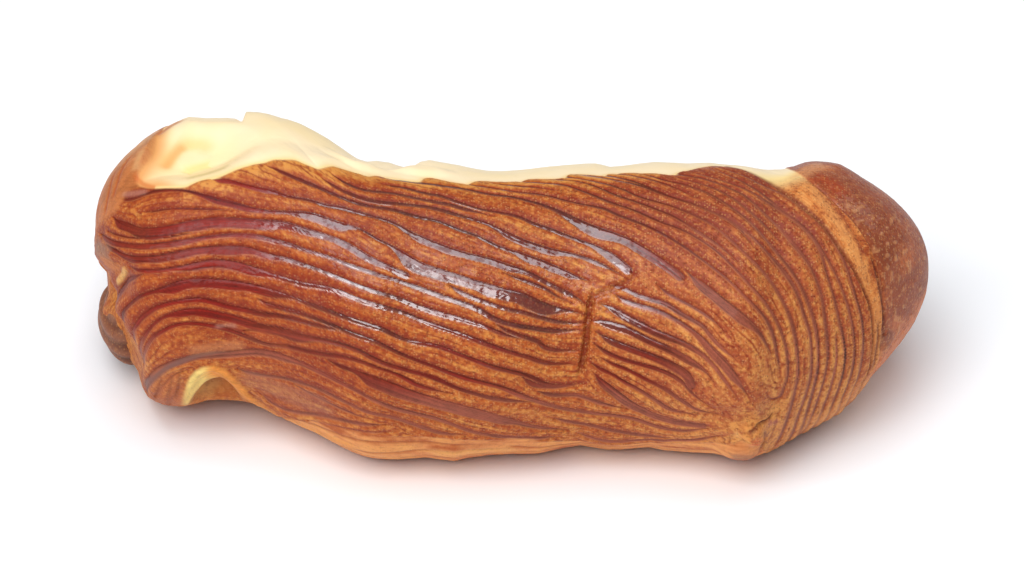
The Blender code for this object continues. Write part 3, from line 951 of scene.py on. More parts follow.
    def streaks(self, seed: Seed, reach: int) -> np.ndarray:
        """Random values drawn out along the strips.

        Formula: at each point, the sum of a fine random field over a short path that
        follows the strips both ways, over the root of the number of its steps.

        Args:
            seed: picks the random field.
            reach: steps walked each way.

        Returns:
            Values from about -1 to 1.
        """
        rows, columns = self.flow.shape
        grain = np.random.default_rng(int(seed)).uniform(-1, 1, (rows, columns))
        step = np.gradient(self.form.angles)[:, None] * self.stamp.scale_at(self.form.along)[None]
        move_c = np.cos(self.flow) / self.form.pitch * self.stride
        move_r = np.sin(self.flow) / step * self.stride
        base_r, base_c = np.meshgrid(np.arange(rows), np.arange(columns), indexing="ij")
        total = grain.copy()
        for sign in (1, -1):
            r, c = base_r.astype(float), base_c.astype(float)
            near = self.cell(r, c)
            for _ in range(reach):
                r += sign * move_r[near]
                c += sign * move_c[near]
                near = self.cell(r, c)
                total += grain[near]
        return total / math.sqrt(2 * reach + 1) * 1.4


@dataclass(frozen=True)
class Hollow:
    """A smooth hollow or, with a depth below zero, a swelling of the crust.

    Attributes:
        place: x and angle of its middle.
        half_size: half its length in millimetres and half its spread in degrees.
        depth: how deep it is, in millimetres.
        edge: how many half sizes out it ends.
    """

    place: Place
    half_size: Place
    depth: float
    edge: float = 1.4

    def at(self, x: np.ndarray, angle: np.ndarray) -> np.ndarray:
        """Depth at each point: full in the middle and nothing past the edge.

        Formula: a smooth step of the edge less the distance from the middle in half sizes.

        Args:
            x: millimetres along the roll.
            angle: degrees round it.

        Returns:
            The depth in millimetres.
        """
        along = (x - self.place[0]) / self.half_size[0]
        around = (angle - self.place[1]) / self.half_size[1]
        return self.depth * ease(self.edge - np.hypot(along, around))


# The pocket in the left end; then the slope of the left end's lower lobe, the knot, its root
# and two dents beside it; then two swellings of the bare dough
POCKET = Hollow((-64.5, 0), (10, 18), 3.6)
HOLLOWS = (
    Hollow((-84, 125), (9, 40), 5.0),
    Hollow((49, 108.5), (2.4, 6.0), -1.8),
    Hollow((46, 122), (4.5, 9), -1.3),
    Hollow((44, 99), (6, 6), 0.9),
    Hollow((52.5, 96), (2.6, 7), 0.8),
)
CREAM_SWELLINGS = (
    Hollow((-32, -15), (5.5, 5.5), -1.0),
    Hollow((-18, -18), (5.5, 5.5), -0.9),
)


@dataclass(frozen=True)
class Stroke:
    """A soft mark along a line: a tint, and a groove or a ridge.

    Attributes:
        route: (x, angle) of the line's points.
        half: half its full width, in millimetres.
        soft: how far beyond that it fades.
        tint: red, green and blue of its colour, 0 to 255.
        strength: share of its colour over what lies below.
        lift: how far it stands out, in millimetres, below zero for a groove.
    """

    route: Route
    half: float
    soft: float
    tint: tuple[int, int, int]
    strength: float
    lift: float = 0.0


# The three creases down the curled lower lobe
CURL_CREASES = (
    ((-70.5, 109.4), (-71.4, 122), (-72, 136)),
    ((-68.5, 107.5), (-69.1, 119.9), (-69.5, 136)),
    ((-66.9, 104.5), (-67.3, 113), (-67.9, 124)),
)
STROKES = (
    # the fold inside the left rim, its painted shadow on the pale dough, the rim's fine lines and a painted
    # lilac highlight along the edge of a band
    Stroke(
        ((-72, 9), (-71.2, 1.5), (-69.9, -5), (-68.4, -10), (-66.2, -13), (-62.9, -12.6), (-60.4, -7)),
        half=0.2,
        soft=1.6,
        tint=(246, 194, 120),
        strength=0.6,
        lift=-0.25,
    ),
    Stroke(
        ((-71.8, 7), (-71.1, 1.5), (-69.9, -5), (-68.4, -10), (-66.4, -12.7)),
        half=0.1,
        soft=0.9,
        tint=(232, 154, 80),
        strength=0.6,
        lift=-0.25,
    ),
    Stroke(((-66.9, 8), (-65.9, 5.3), (-63.6, 4.0), (-61, 3)), 0.4, 1.4, (244, 206, 122), 0.6, -0.15),
    Stroke(
        ((-66.3, 16.2), (-64.2, 15), (-61.8, 14.9), (-59.3, 13.6), (-56.9, 12.1)),
        half=0.3,
        soft=1.1,
        tint=(206, 180, 108),
        strength=0.55,
        lift=-0.25,
    ),
    Stroke(((-74, -20), (-72, -25), (-69.9, -29), (-66.9, -31.5)), 0.6, 1.0, (200, 118, 66), 0.8),
    Stroke(((-38, -40), (-35, -39)), 0.3, 0.8, (196, 140, 84), 0.8),
    Stroke(((-73.9, -4), (-74.2, -1.5), (-74.5, 1.1), (-75.2, 7.1)), 0.1, 0.3, (184, 88, 42), 0.7, -0.12),
    Stroke(((-74.6, -4), (-75.4, 3), (-76, 10)), 0.2, 0.9, (230, 178, 120), 0.5),
    Stroke(
        ((-76.9, -4.7), (-78.1, -1.2), (-78.9, 3.9), (-79.5, 9.3), (-80.1, 14.4), (-80.5, 19.8)),
        half=0.1,
        soft=0.4,
        tint=(176, 84, 42),
        strength=0.75,
        lift=-0.15,
    ),
    Stroke(
        ((-79.9, -2.1), (-80.7, 2), (-81.1, 8.9), (-81.5, 15.3), (-81.9, 21.5), (-81.9, 25.8)),
        half=0.1,
        soft=0.4,
        tint=(170, 78, 40),
        strength=0.75,
        lift=-0.15,
    ),
    Stroke(((-83.2, 6), (-83.6, 14), (-83.6, 22), (-83.4, 30)), 0.1, 0.4, (176, 86, 44), 0.6, -0.1),
    Stroke(
        ((-76.2, 10), (-75.8, 13.6), (-74.6, 17.5), (-73.2, 19.8), (-71.6, 21.5)),
        half=0.15,
        soft=0.4,
        tint=(204, 106, 50),
        strength=0.6,
        lift=-0.1,
    ),
    # painted highlight: the pale lilac sheen along the band's edge, on a low ridge
    Stroke(
        ((-78.7, 19.2), (-76.7, 21.3), (-74.6, 22.3), (-73.2, 22.6)),
        half=0.2,
        soft=0.4,
        tint=(206, 150, 128),
        strength=0.35,
        lift=0.1,
    ),
    # the grey skin, the orange one and the torn golden flake beside the notch
    Stroke(((-84, 44.2), (-82.6, 47.9), (-81.1, 50.6)), 0.8, 1.2, (150, 112, 92), 0.8),
    Stroke(((-83.4, 55.5), (-81.6, 58.5), (-81.9, 63.5)), 0.7, 0.9, (196, 112, 52), 0.8),
    Stroke(
        ((-82.2, 69.5), (-80.5, 63), (-79.3, 59.1), (-78.3, 57.4)),
        half=0.35,
        soft=0.5,
        tint=(226, 172, 98),
        strength=0.85,
        lift=0.35,
    ),
    # the curled lower lobe: its roll, its grey-brown ribbon and the golden one below
    Stroke(((-69.5, 106), (-69.3, 120), (-70, 136)), 2.4, 1.2, (176, 98, 58), 0.65),
    *(Stroke(route, 0.08, 0.25, (132, 62, 34), 0.6, -0.12) for route in CURL_CREASES),
    Stroke(
        ((-74.6, 138), (-74.2, 126), (-72.4, 113.7), (-69.5, 103), (-66.1, 97.2), (-62.4, 94.5), (-56, 94.4)),
        half=0.32,
        soft=0.3,
        tint=(124, 84, 74),
        strength=0.8,
    ),
    Stroke(
        ((-55.3, 107.8), (-50.8, 110.9), (-46.1, 111), (-41, 108.3), (-35.9, 104.2)),
        half=1.9,
        soft=1.0,
        tint=(158, 100, 80),
        strength=0.5,
    ),
    Stroke(
        ((-52.6, 124), (-50, 132), (-46.4, 136), (-42, 131.5), (-37, 128.3), (-31, 124)),
        half=0.8,
        soft=0.8,
        tint=(228, 152, 74),
        strength=0.7,
        lift=0.3,
    ),
    # a pale pinkish line that is a painted glint, a rubbed orange patch and a paler golden patch on the
    # strips of the left end
    Stroke(((-60, 81.8), (-58.3, 81.4), (-56.7, 81.2), (-55.1, 82.1)), 0.12, 0.4, (200, 150, 130), 0.35),
    Stroke(((-53.2, 84.2), (-50.8, 84.7), (-47.9, 84.8), (-45.1, 83.9)), 0.5, 0.7, (196, 96, 46), 0.3),
    Stroke(((-65.9, 91.6), (-60.4, 91.4), (-53.2, 90.4)), 0.6, 0.9, (204, 132, 84), 0.5),
    # the pinched tail: its slit and the groove running down from its knot, both painted dark as shade, its
    # knot and the smooth patch beside it
    Stroke(
        ((47.1, 105.6), (48.6, 103.7), (50, 101.9), (51.4, 102.2), (52.2, 101.5), (53, 99.2)),
        half=0.05,
        soft=0.25,
        tint=(96, 34, 22),
        strength=0.9,
        lift=-0.45,
    ),
    Stroke(((50.6, 104.4), (51, 110.7), (50.6, 117.2), (49.8, 123.9)), 0.1, 0.35, (120, 50, 26), 0.7, -0.5),
    Stroke(((48, 109), (49.6, 110)), 0.8, 0.8, (196, 80, 36), 0.7),
    Stroke(((44.5, 108.4), (46.4, 107.6)), 0.3, 0.6, (230, 168, 100), 0.7),
    Stroke(((44.5, 123), (48.5, 123.6)), 0.6, 1.2, (150, 100, 74), 0.7),
    Stroke(((52.4, 106), (52.8, 103)), 0.5, 0.8, (170, 96, 88), 0.6),
    # the nose: its pale top, the red patch below it and the thin lines beside the fold
    Stroke(((58.4, -14), (60.6, -20), (63.3, -26)), 0.8, 1.8, (224, 156, 104), 0.6),
    Stroke(((61.4, -11), (63.6, -8.4), (65.6, -3.4), (67, 0)), 0.8, 1.4, (166, 62, 26), 0.7),
    Stroke(
        ((58.2, -9), (60.2, -2.6), (63.3, 8.7), (66.1, 19.6), (68.6, 29.6), (70.7, 41.6), (72.4, 54)),
        half=0.3,
        soft=0.9,
        tint=(226, 158, 92),
        strength=0.45,
    ),
    Stroke(((73, 58), (73.8, 72), (73.8, 88), (73.4, 104)), 0.4, 0.7, (214, 136, 72), 0.6),
    Stroke(
        ((63, -3), (66.4, 10), (69, 22), (70.3, 28), (72.2, 38), (73.2, 48)),
        half=0.08,
        soft=0.3,
        tint=(170, 84, 40),
        strength=0.6,
        lift=-0.12,
    ),
    Stroke(
        ((72.2, 30), (73.4, 42), (74.3, 55), (75.1, 70), (75.2, 84), (74.8, 98)),
        half=0.1,
        soft=0.28,
        tint=(96, 38, 24),
        strength=0.85,
        lift=-0.2,
    ),
    Stroke(((74, 72), (74, 86), (73.6, 100), (73, 112)), 0.1, 0.28, (110, 44, 24), 0.8, -0.2),
    Stroke(((75.4, 85), (76.4, 94), (75.6, 101)), 0.6, 0.6, (124, 66, 46), 0.6, 0.25),
    # thin lines along the lower strip, where layers of dough end
    Stroke(
        ((-46, 127), (-38, 121.5), (-28, 117.5), (-16, 117), (-5, 119)),
        half=0.06,
        soft=0.3,
        tint=(156, 76, 40),
        strength=0.7,
        lift=-0.15,
    ),
    Stroke(
        ((-42, 134), (-34, 129), (-24, 124), (-12, 122.5), (0, 124)),
        half=0.06,
        soft=0.35,
        tint=(164, 82, 42),
        strength=0.6,
        lift=-0.15,
    ),
    Stroke(((-26, 133), (-14, 129), (-2, 128.5), (8, 130)), 0.06, 0.35, (172, 92, 46), 0.55, -0.12),
    Stroke(((-2, 121), (8, 125.5), (18, 129), (30, 128)), 0.06, 0.35, (164, 82, 42), 0.6, -0.15),
    Stroke(((14, 130), (24, 133), (34, 130), (42, 124)), 0.06, 0.3, (156, 76, 40), 0.6, -0.12),
    Stroke(((-18, 124), (-8, 125), (2, 126.5)), 0.7, 0.9, (240, 180, 104), 0.5, 0.12),
    Stroke(((58.7, 121.5), (64.8, 126.8), (68.9, 123.4), (72.6, 114.9)), 1.2, 2.4, (226, 152, 92), 0.4),
)


# The pressed crease, its stem and the fainter arm to the right of its top, with their strengths
CREASE_STROKES = (
    (((13.3, 84), (14.2, 78), (14.9, 70), (15.3, 62), (15.7, 54), (16.6, 47)), 1.0),
    (((15, 50.6), (18, 48.4), (20.6, 46.6), (23, 44), (26, 39.5)), 0.45),
)


def shade(red: int, green: int, blue: int) -> np.ndarray:
    """A palette's field that holds one colour, 0 to 255 a channel."""
    return field(default_factory=lambda: colour(red, green, blue))


@dataclass(frozen=True)
class Palette:
    """Colours of the baked dough, from bare and pale to dark and glazed, with a painted
    sheen and a painted crack shadow among them.

    Attributes:
        pillow: the strips, with their light and dark kinds after it.
        band: the glazed bands, with their redder kind after it.
        line: the painted shadow in the cracks at the bands' upper edges and at the last arc.
        painted_sheen: a pale pinkish tone laid on the strips at the right, a painted sheen.
        lip: the thin golden lip at a band's lower edge.
        cream: the bare dough, with its warm and its toasted kind after it.
        gold: the flat strip beside the nose.
        nose: the nose, with its light kind and its blisters after it.
        rim: the rolled left rim, with its light kind after it.
        arc_band: the softer bands round the right end.
        arch_gold: the curl's lip at its right, with its pale left side after it.
        base: the lower strip, with its browned underside after it.
    """

    pillow: np.ndarray = shade(178, 87, 36)
    pillow_light: np.ndarray = shade(216, 143, 68)
    pillow_dark: np.ndarray = shade(138, 48, 26)
    band: np.ndarray = shade(116, 44, 26)
    band_red: np.ndarray = shade(124, 27, 15)
    line: np.ndarray = shade(66, 20, 12)
    painted_sheen: np.ndarray = shade(176, 140, 122)
    lip: np.ndarray = shade(214, 136, 78)
    cream: np.ndarray = shade(251, 227, 186)
    cream_warm: np.ndarray = shade(250, 218, 146)
    toast: np.ndarray = shade(226, 156, 88)
    gold: np.ndarray = shade(206, 120, 58)
    nose: np.ndarray = shade(150, 72, 42)
    nose_light: np.ndarray = shade(208, 114, 62)
    blister: np.ndarray = shade(206, 142, 92)
    rim: np.ndarray = shade(190, 112, 60)
    rim_light: np.ndarray = shade(218, 156, 98)
    arc_band: np.ndarray = shade(142, 74, 54)
    arch_gold: np.ndarray = shade(222, 142, 64)
    arch_pale: np.ndarray = shade(234, 202, 118)
    base: np.ndarray = shade(230, 158, 88)
    base_brown: np.ndarray = shade(168, 96, 52)


@dataclass
class Crust:
    """The whole skin of the croissant: its height, colour, gloss and coarseness of grain.

    Attributes:
        form: the rolled form.
        strips: the pattern of the strips.
        palette: the colours.
        crest: how high a strip stands, in millimetres.
        lip: how far a band's lower edge stands above its upper one.
        crevice: how deep the crack is at a band's upper edge.
        tilt: how far the edges of a wide band stand above and below its middle.
        seam_wander: how far the tongues at the strips' starts reach over the bare dough.
        nose_rise: how high the nose's skin stands, in millimetres.
        back_edge: the angle at which the bare dough ends behind.
        edge_reach: how far from an edge between parts distances are kept.
        arch_reach: the same for the edges of the curl's arch.
        notch: angle, distance from the tip and half width of the notch in the left end.
        notch_deep: how deep the notch is.
        crease_deep: how deep the pressed crease is.
        join: the angle from which random fields are mixed to those of one turn earlier, and
            over how many degrees.
        view: the angle that faces the camera.
    """

    form: RolledForm
    strips: StripPattern
    palette: Palette = field(default_factory=Palette)
    crest: float = 0.22
    lip: float = 0.14
    crevice: float = 0.15
    tilt: float = 0.1
    seam_wander: float = 0.5
    nose_rise: float = 0.2
    back_edge: float = -61.0
    edge_reach: float = 12.0
    arch_reach: float = 9.0
    notch: tuple[float, float, float] = (50.0, 6.0, 5.0)
    notch_deep: float = 2.8
    crease_deep: float = 1.0
    join: tuple[float, float] = (256.0, 38.0)
    view: float = 50.0

    def __post_init__(self) -> None:
        """Works out every field on the grid."""
        form = self.form
        self.x, self.angle = np.meshgrid(form.meridian(form.along)[0], form.angles)
        self.turned = np.where(self.angle > 180, self.angle - 360, self.angle)
        self.front = self.angle < form.front[1]
        self.along = np.broadcast_to(form.along, self.x.shape)
        self.radius = form.meridian(self.along)[1]
        self.scale = np.broadcast_to(self.strips.stamp.scale_at(form.along), self.x.shape)
        self.place, self.width = self.strips.pillow()
        self.rise = np.sin(math.pi * self.place**0.9) ** 0.45
        self.streak = self.strips.streaks(Seed.STREAKS, 5)
        self.long_streak = self.strips.streaks(Seed.LONG_STREAKS, 34)
        self.inner_lines = self.lines_in_strips()
        self.measure_edges()
        self.share_out_parts()
        self.mark_details()
        self.height = self.work_out_height()
        self.read_random_fields()
        self.tint = self.work_out_tint().clip(0.001, 0.98)
        self.gloss = self.work_out_gloss().clip(0, 1)
        self.grain = self.work_out_grain().clip(0, 1)

    def cloud(
        self,
        seed: Seed,
        size: float,
        layers: int = 3,
        scale: float | np.ndarray = DEGREE_MM,
        start: float = 0.0,
    ) -> np.ndarray:
        """Smooth random values over the skin, which meet where the round closes.

        Formula: noise at the length along and the angle times the scale, mixed over the
        last degrees to the noise one turn earlier.

        Args:
            seed: picks the random numbers.
            size: the size of the largest patches, in millimetres.
            layers: how many sizes are added up.
            scale: millimetres to a degree round the roll.
            start: the angle where the noise isn't sheared by a scale that changes.

        Returns:
            The values, from -1 to 1.
        """
        first, length = self.join
        shift_x, shift_y = FIELD_SHIFT
        scale = np.broadcast_to(scale, self.angle.shape)
        value = cloud(seed, self.along + shift_x, (self.angle - start) * scale + shift_y, size, layers)
        late = self.form.angles > first
        turned = (self.angle[late] - 360 - start) * scale[late] + shift_y
        after = cloud(seed, self.along[late] + shift_x, turned, size, layers)
        value[late] = mix(value[late], after, rising(self.angle[late], first, length))
        return value

    def lines_in_strips(self) -> np.ndarray:
        """How strongly thin lines mark the middle of wide strips, or the thirds of wider ones.

        Formula: a bell of the distance from the line's place across the strip, where the
        strip is wide enough, broken up by a random field.

        Returns:
            The strength at each point, from 0 to 1.
        """
        wander = 0.10 * self.cloud(Seed.LINE_WANDER, 5.0, 2)
        lines = np.zeros(self.place.shape)
        for least, most, places in ((1.5, 3.0, (0.5,)), (3.0, 9.0, (0.3, 0.62))):
            least = least - 0.35 * rising(self.x, 24, 14)
            share = rising(self.width, least, 0.6) * falling(self.width, most + 0.6, 0.6)
            for place in places:
                line = bell((self.place - place + wander) * self.width / 0.16)
                lines = np.maximum(lines, share * line)
        return lines * ease(0.55 + 0.9 * self.cloud(Seed.LINE_BREAKS, 6.0, 2)) * self.front

    def distance(self, line: Route, outside: np.ndarray, reach: float) -> np.ndarray:
        """Distance from an edge between parts, positive on its right hand side."""
        return Stamp(self.form, reach).signed(line, outside)

    def side_of(self, line: Route) -> np.ndarray:
        """The sign of each point beside a line that runs round the roll: 1 at its left."""
        at = np.array(line)
        return np.where(self.x < np.interp(self.angle, at[:, 1], at[:, 0]), 1, -1)

    def measure_edges(self) -> None:
        """Measures how far each point is from the edges between the crust's parts.

        Formula: each edge is a line pressed into a stamp of its own, and the sign of far
        points comes from the side of the line on which they lie.
        """
        seam, lower = np.array(SEAM_LINE), np.array(LOWER_LINE)[2:]
        top = seam[seam[:, 0] > -72.3][3:]
        below_seam = (self.angle > np.interp(self.x, top[:, 0], top[:, 1])) | (self.x < -74)
        self.seam = self.distance(SEAM_LINE, np.where(below_seam, 1, -1), self.edge_reach)
        self.nose = self.distance(NOSE_LINE, self.side_of(NOSE_LINE), self.edge_reach)
        self.hood = self.distance(HOOD_LINE, self.side_of(HOOD_LINE), self.edge_reach)
        under = self.angle > np.interp(self.x, lower[:, 0], lower[:, 1])
        under = under & (self.x < 51.5) & (self.x > -43)
        self.lower = self.distance(LOWER_LINE, np.where(under, 1, -1), self.edge_reach)
        outside = np.full(self.x.shape, -1)
        self.arch_outer = self.distance(ARCH_OUTER, outside, self.arch_reach)
        self.arch_inner = self.distance(ARCH_INNER, outside, self.arch_reach)

    def share_out_parts(self) -> None:
        """Works out how far each point belongs to each part of the crust, from 0 to 1.

        Formula: smooth steps of the distances from the edges. The strips start in tongues
        that follow their rise, and the shares of the wrap, the bare dough, the flat strip
        beside the nose and the nose leave the rest to the lower strip.
        """
        turned = self.turned
        tongue = self.seam_wander * (self.rise - 0.6) * rising(self.x, -70, 10)
        wander = self.cloud(Seed.SEAM_WANDER, 4.0) * 0.35
        self.from_seam = self.seam + tongue + wander * rising(self.x, -68, 10)
        on_front = self.step(self.from_seam, 0.7) * self.step(self.nose + 0.15 * wander, 0.5)
        on_front *= self.step(-self.lower + 0.8 * (self.rise - 0.5), 0.8) * self.front
        edge = self.back_edge + 5 * self.cloud(Seed.BACK_EDGE, 14.0)
        gap = (edge - turned) * self.scale + 0.5 * (self.rise - 0.6)
        self.back_gap = np.where(turned < -34, gap, -99.0)
        beneath = (self.angle > self.form.front[1]) & (turned > 0)
        behind = np.where(beneath, 1.0, self.step(self.back_gap, 1.0)) * self.step(self.hood, 0.6)
        self.wrap = np.maximum(on_front, behind)
        self.domed = self.step(-self.hood, 0.5)
        self.bare = self.step(-self.from_seam, 0.7) * self.step(self.hood, 1.0) * (1 - behind)
        self.gilt = self.step(-self.nose, 0.5) * (1 - self.domed) * (1 - self.bare) * (1 - behind)
        self.rest = np.clip(1 - self.wrap - self.bare - self.gilt - self.domed, 0, 1)
        self.inward = self.bare * ease(-self.from_seam / 9)
        edge = mix(1.5, 9.0, falling(turned, -26, 40))
        self.rim = falling(self.x, -71.8, edge) * falling(turned, 22 + 8 * falling(self.x, -77, 3), 5)
        self.rim = self.rim * (1 - self.bare) * rising(turned, -92, 60)
        self.arch_open = falling(self.angle, 138, 16) * (self.angle > 90)
        low = rising(self.angle, 82, 14) * falling(self.angle, 172, 20)
        self.soft = np.maximum(rising(self.x, 28, 14), low)
        above_floor = self.form.middle_at(self.x) + self.radius * np.cos(np.radians(self.angle))
        self.underside = falling(above_floor, 3.2, 3.0)

    def mark_details(self) -> None:
        """Works out how strongly bands, pits, blisters and strokes mark each point.

        Formula: smooth steps of the distance from the bands and of random fields; the
        crease is the strongest of its strokes.
        """
        self.banded = self.step(-self.strips.stamp.nearest, 0.18)
        self.pits = rising(self.cloud(Seed.PITS, 0.7, 2), 0.18, 0.3) * (1 - self.banded)
        blisters = self.cloud(Seed.BLISTERS, 1.25, 1, self.scale, self.view)
        self.blisters = rising(blisters, 0.42, 0.3) * falling(np.abs(self.angle - self.view), 72, 30)
        self.strokes = [(stroke, self.share_of(stroke)) for stroke in STROKES]
        self.pressed = np.zeros(self.x.shape)
        for route, strength in CREASE_STROKES:
            share = self.share_of(Stroke(route, 0.28, 0.42, (0, 0, 0), 1.0))
            self.pressed = np.maximum(self.pressed, strength * share)

    def share_of(self, stroke: Stroke) -> np.ndarray:
        """How strongly a stroke marks each point, from 0 to 1.

        Formula: 1 within half its width, then a bell of the distance, less towards the
        line's two ends.

        Args:
            stroke: the stroke.

        Returns:
            The strength at each point.
        """
        stamp = Stamp(self.form, stroke.half + 2.5 * stroke.soft)
        chain = stamp.chain(smooth_route(stroke.route, 8))
        walked = chain[:, 2]
        fade = ease(np.minimum(walked, walked[-1] - walked) / (0.2 * walked[-1]) + 0.2)
        stamp.press(chain, stroke.half * fade)
        marked = stamp.nearest < stamp.reach - 1e-6
        share = bell(np.maximum(stamp.nearest, 0) / stroke.soft) * marked
        return share * (stamp.half / stroke.half).clip(0, 1)

    @staticmethod
    def step(distance: np.ndarray, width: float) -> np.ndarray:
        """Goes from 0 to 1 over a width, half way at distance 0."""
        return ease(distance / width + 0.5)

    def work_out_height(self) -> np.ndarray:
        """Height of the crust over the rolled form, in millimetres.

        Formula: the parts' heights by their shares, less how far the top lies low, plus how
        far the bottom swells. Hollows, the notch and the crease are taken away, strokes and
        the curl's lip are added, and all of it fades towards the two tips.

        Returns:
            The height at each point.
        """
        height = self.strip_height() * self.wrap + self.cream_height() * self.bare
        height = height + self.gilt_height() * self.gilt + self.nose_height() * self.domed
        base = 0.1 + 0.15 * self.cloud(Seed.BASE_SWELL, 11.0) + 0.06 * self.cloud(Seed.BASE_RIPPLE, 2.4)
        height = height + base * self.rest
        height = height - self.top_drop()
        swell = np.interp(self.x, *np.array(BOTTOM_OUTLINE).T)
        height = height + swell * rising(self.angle, 103, 25) * falling(self.angle, 200, 40)
        for hollow in HOLLOWS:
            height = height - hollow.at(self.x, self.angle)
        for stroke, share in self.strokes:
            height = height + stroke.lift * share
        lip = 0.7 * hump(self.arch_outer, 0.9, 0.9) - 4.5 * ease(self.arch_inner / 2.2)
        height = height + lip * self.arch_open
        height = height - self.notch_hollow() - self.crease_deep * self.pressed
        return height * ease(self.radius / 6)

    def strip_height(self) -> np.ndarray:
        """Height of the strips and of the bands between them.

        Formula: a strip rises from its foot as the sine of its place across to a power. A
        band lies between a crack at its upper edge and a lip at its lower one, and a wide
        one is tilted. Both are lower near the seam, and smooth on the rim.

        Returns:
            The height at each point, in millimetres.
        """
        stamp = self.strips.stamp
        crest = self.crest * np.clip(self.width / 1.9, 0.2, 1.2) ** 0.8 * (1 + 0.4 * self.soft)
        crack = self.crevice * (0.75 + 0.5 * self.cloud(Seed.CRACK_DEPTH, 5.0)) * (1 - 0.6 * self.soft)
        tilt = self.tilt * rising(2 * stamp.half, 1.1, 0.9)
        pillow = self.lip * (1 - self.place) + crest * self.rise - crack * bell(stamp.over / 0.2)
        pillow = pillow + tilt * bell(stamp.under / 0.7) * 0.9 - tilt * bell(stamp.over / 0.7) * 0.5
        from_upper = stamp.across + stamp.half
        band = self.lip * (1 - np.exp(-np.maximum(from_upper, 0) / 0.4)) - crack * bell(from_upper / 0.2)
        band = band + tilt * (stamp.across / np.maximum(stamp.half, 0.1)).clip(-1, 1)
        band = band + 0.014 * self.long_streak + 0.045 * self.cloud(Seed.BAND_RIPPLE, 0.9, 2)
        strip = mix(pillow, band, self.banded)
        lines = 0.3 * self.streak + 0.5 * self.long_streak
        strip += (0.03 * lines - 0.11 * self.inner_lines) * (1 - self.banded)
        strip += 0.20 * self.cloud(Seed.STRIP_SWELL, 9.0) - 0.06 * self.pits
        from_edge = np.maximum(self.from_seam, self.back_gap)
        strip = strip * mix(0.3, 1.0, rising(from_edge, -0.2, 3.0))
        return mix(strip, 0.25 + 0.06 * self.cloud(Seed.RIM_SWELL, 3.0), 0.85 * self.rim)

    def cream_height(self) -> np.ndarray:
        """Height of the bare dough: soft swellings and ripples, lower at its edges.

        Formula: random fields, less a drop towards its edges, its swellings and the pocket.

        Returns:
            The height at each point, in millimetres.
        """
        cream = 0.05 * self.cloud(Seed.CREAM_RIPPLE, 2.0) + 0.15 * self.cloud(Seed.CREAM_SWELL, 9.0)
        cream = cream - 0.3 * (1 - self.inward) * rising(self.turned, -36, 20)
        for swelling in CREAM_SWELLINGS:
            cream = cream - swelling.at(self.x, self.angle) * (1 - falling(self.angle, -24, 12))
        return cream - POCKET.at(self.x, self.angle)

    def gilt_height(self) -> np.ndarray:
        """Height of the flat strip beside the nose, with a crack at the last arc."""
        gilt = 0.05 + 0.1 * self.cloud(Seed.GILT_SWELL, 5.0) - 0.45 * bell(self.nose / 0.35)
        return gilt + 0.25 * np.sin(math.pi * (self.nose / -5.0).clip(0, 1)) ** 0.5

    def nose_height(self) -> np.ndarray:
        """Height of the nose's skin, with its blisters and the groove at its edge.

        Formula: random fields and the blisters, less a bell of the distance from the edge.

        Returns:
            The height at each point, in millimetres.
        """
        swell, ripple = self.cloud(Seed.NOSE_SWELL, 6.0), self.cloud(Seed.NOSE_RIPPLE, 1.2, 2)
        dome = self.nose_rise + 0.12 * swell + 0.05 * ripple + 0.07 * self.blisters
        return dome - 0.3 * hump(self.hood, -0.3, 0.3) * (self.angle > -10)

    def top_drop(self) -> np.ndarray:
        """How far the top lies below the rolled form: sharp at the outline, soft in front.

        Formula: the outline's drop, mixed from its blurred kind to itself over the top, and
        faded in behind and out towards the front.

        Returns:
            The drop at each point, in millimetres.
        """
        sharp = np.interp(self.x, *np.array(TOP_OUTLINE).T)
        drop = mix(blur(sharp[:1], 1200, 1), sharp, falling(self.turned, -18, 14))
        return drop * rising(self.turned, -92, 30) * np.maximum(self.inward, falling(self.turned, 8, 40))

    def notch_hollow(self) -> np.ndarray:
        """Depth of the notch in the left end: a groove that runs across it, front to back.

        Formula: a smooth step of the distance from the groove's middle, faded away from the
        end.

        Returns:
            The depth at each point, in millimetres.
        """
        turn_at, below_tip, half_width = self.notch
        turn = np.radians(self.angle - turn_at)
        along, across = self.radius * np.cos(turn), self.radius * np.sin(turn) - below_tip
        inside = ease(1.3 - np.abs(across) / half_width)
        return self.notch_deep * inside * ease(1 + along / 25) * falling(self.x, -74, 7)

    def read_random_fields(self) -> None:
        """Reads the fields that several colours share, and where lamps and shade reach.

        Formula: random fields of three sizes, smooth steps of x, of the angle and of the
        distances from the arch's edges, and the product of what makes the skin less smooth.
        """
        self.slow = self.cloud(Seed.SLOW, 26.0)
        self.middle = self.cloud(Seed.MIDDLE, 6.0)
        self.fine = self.cloud(Seed.FINE, 1.3, 2)
        self.fading = falling(self.angle, 262, 60)
        self.lit = rising(self.x, -54, 14) * falling(self.x, 36, 20) * falling(self.angle, 82, 24)
        self.pale = falling(self.angle, -2, 18)
        self.golden = self.step(self.arch_outer, 0.8) * self.arch_open
        self.inner = self.step(self.arch_inner, 0.8) * self.arch_open
        self.smooth = (1 - 0.3 * self.rim) * (1 - self.golden * (1 - self.inner))
        self.smooth = self.smooth * (1 - 0.5 * hump(self.seam, 1.5, 2.5))

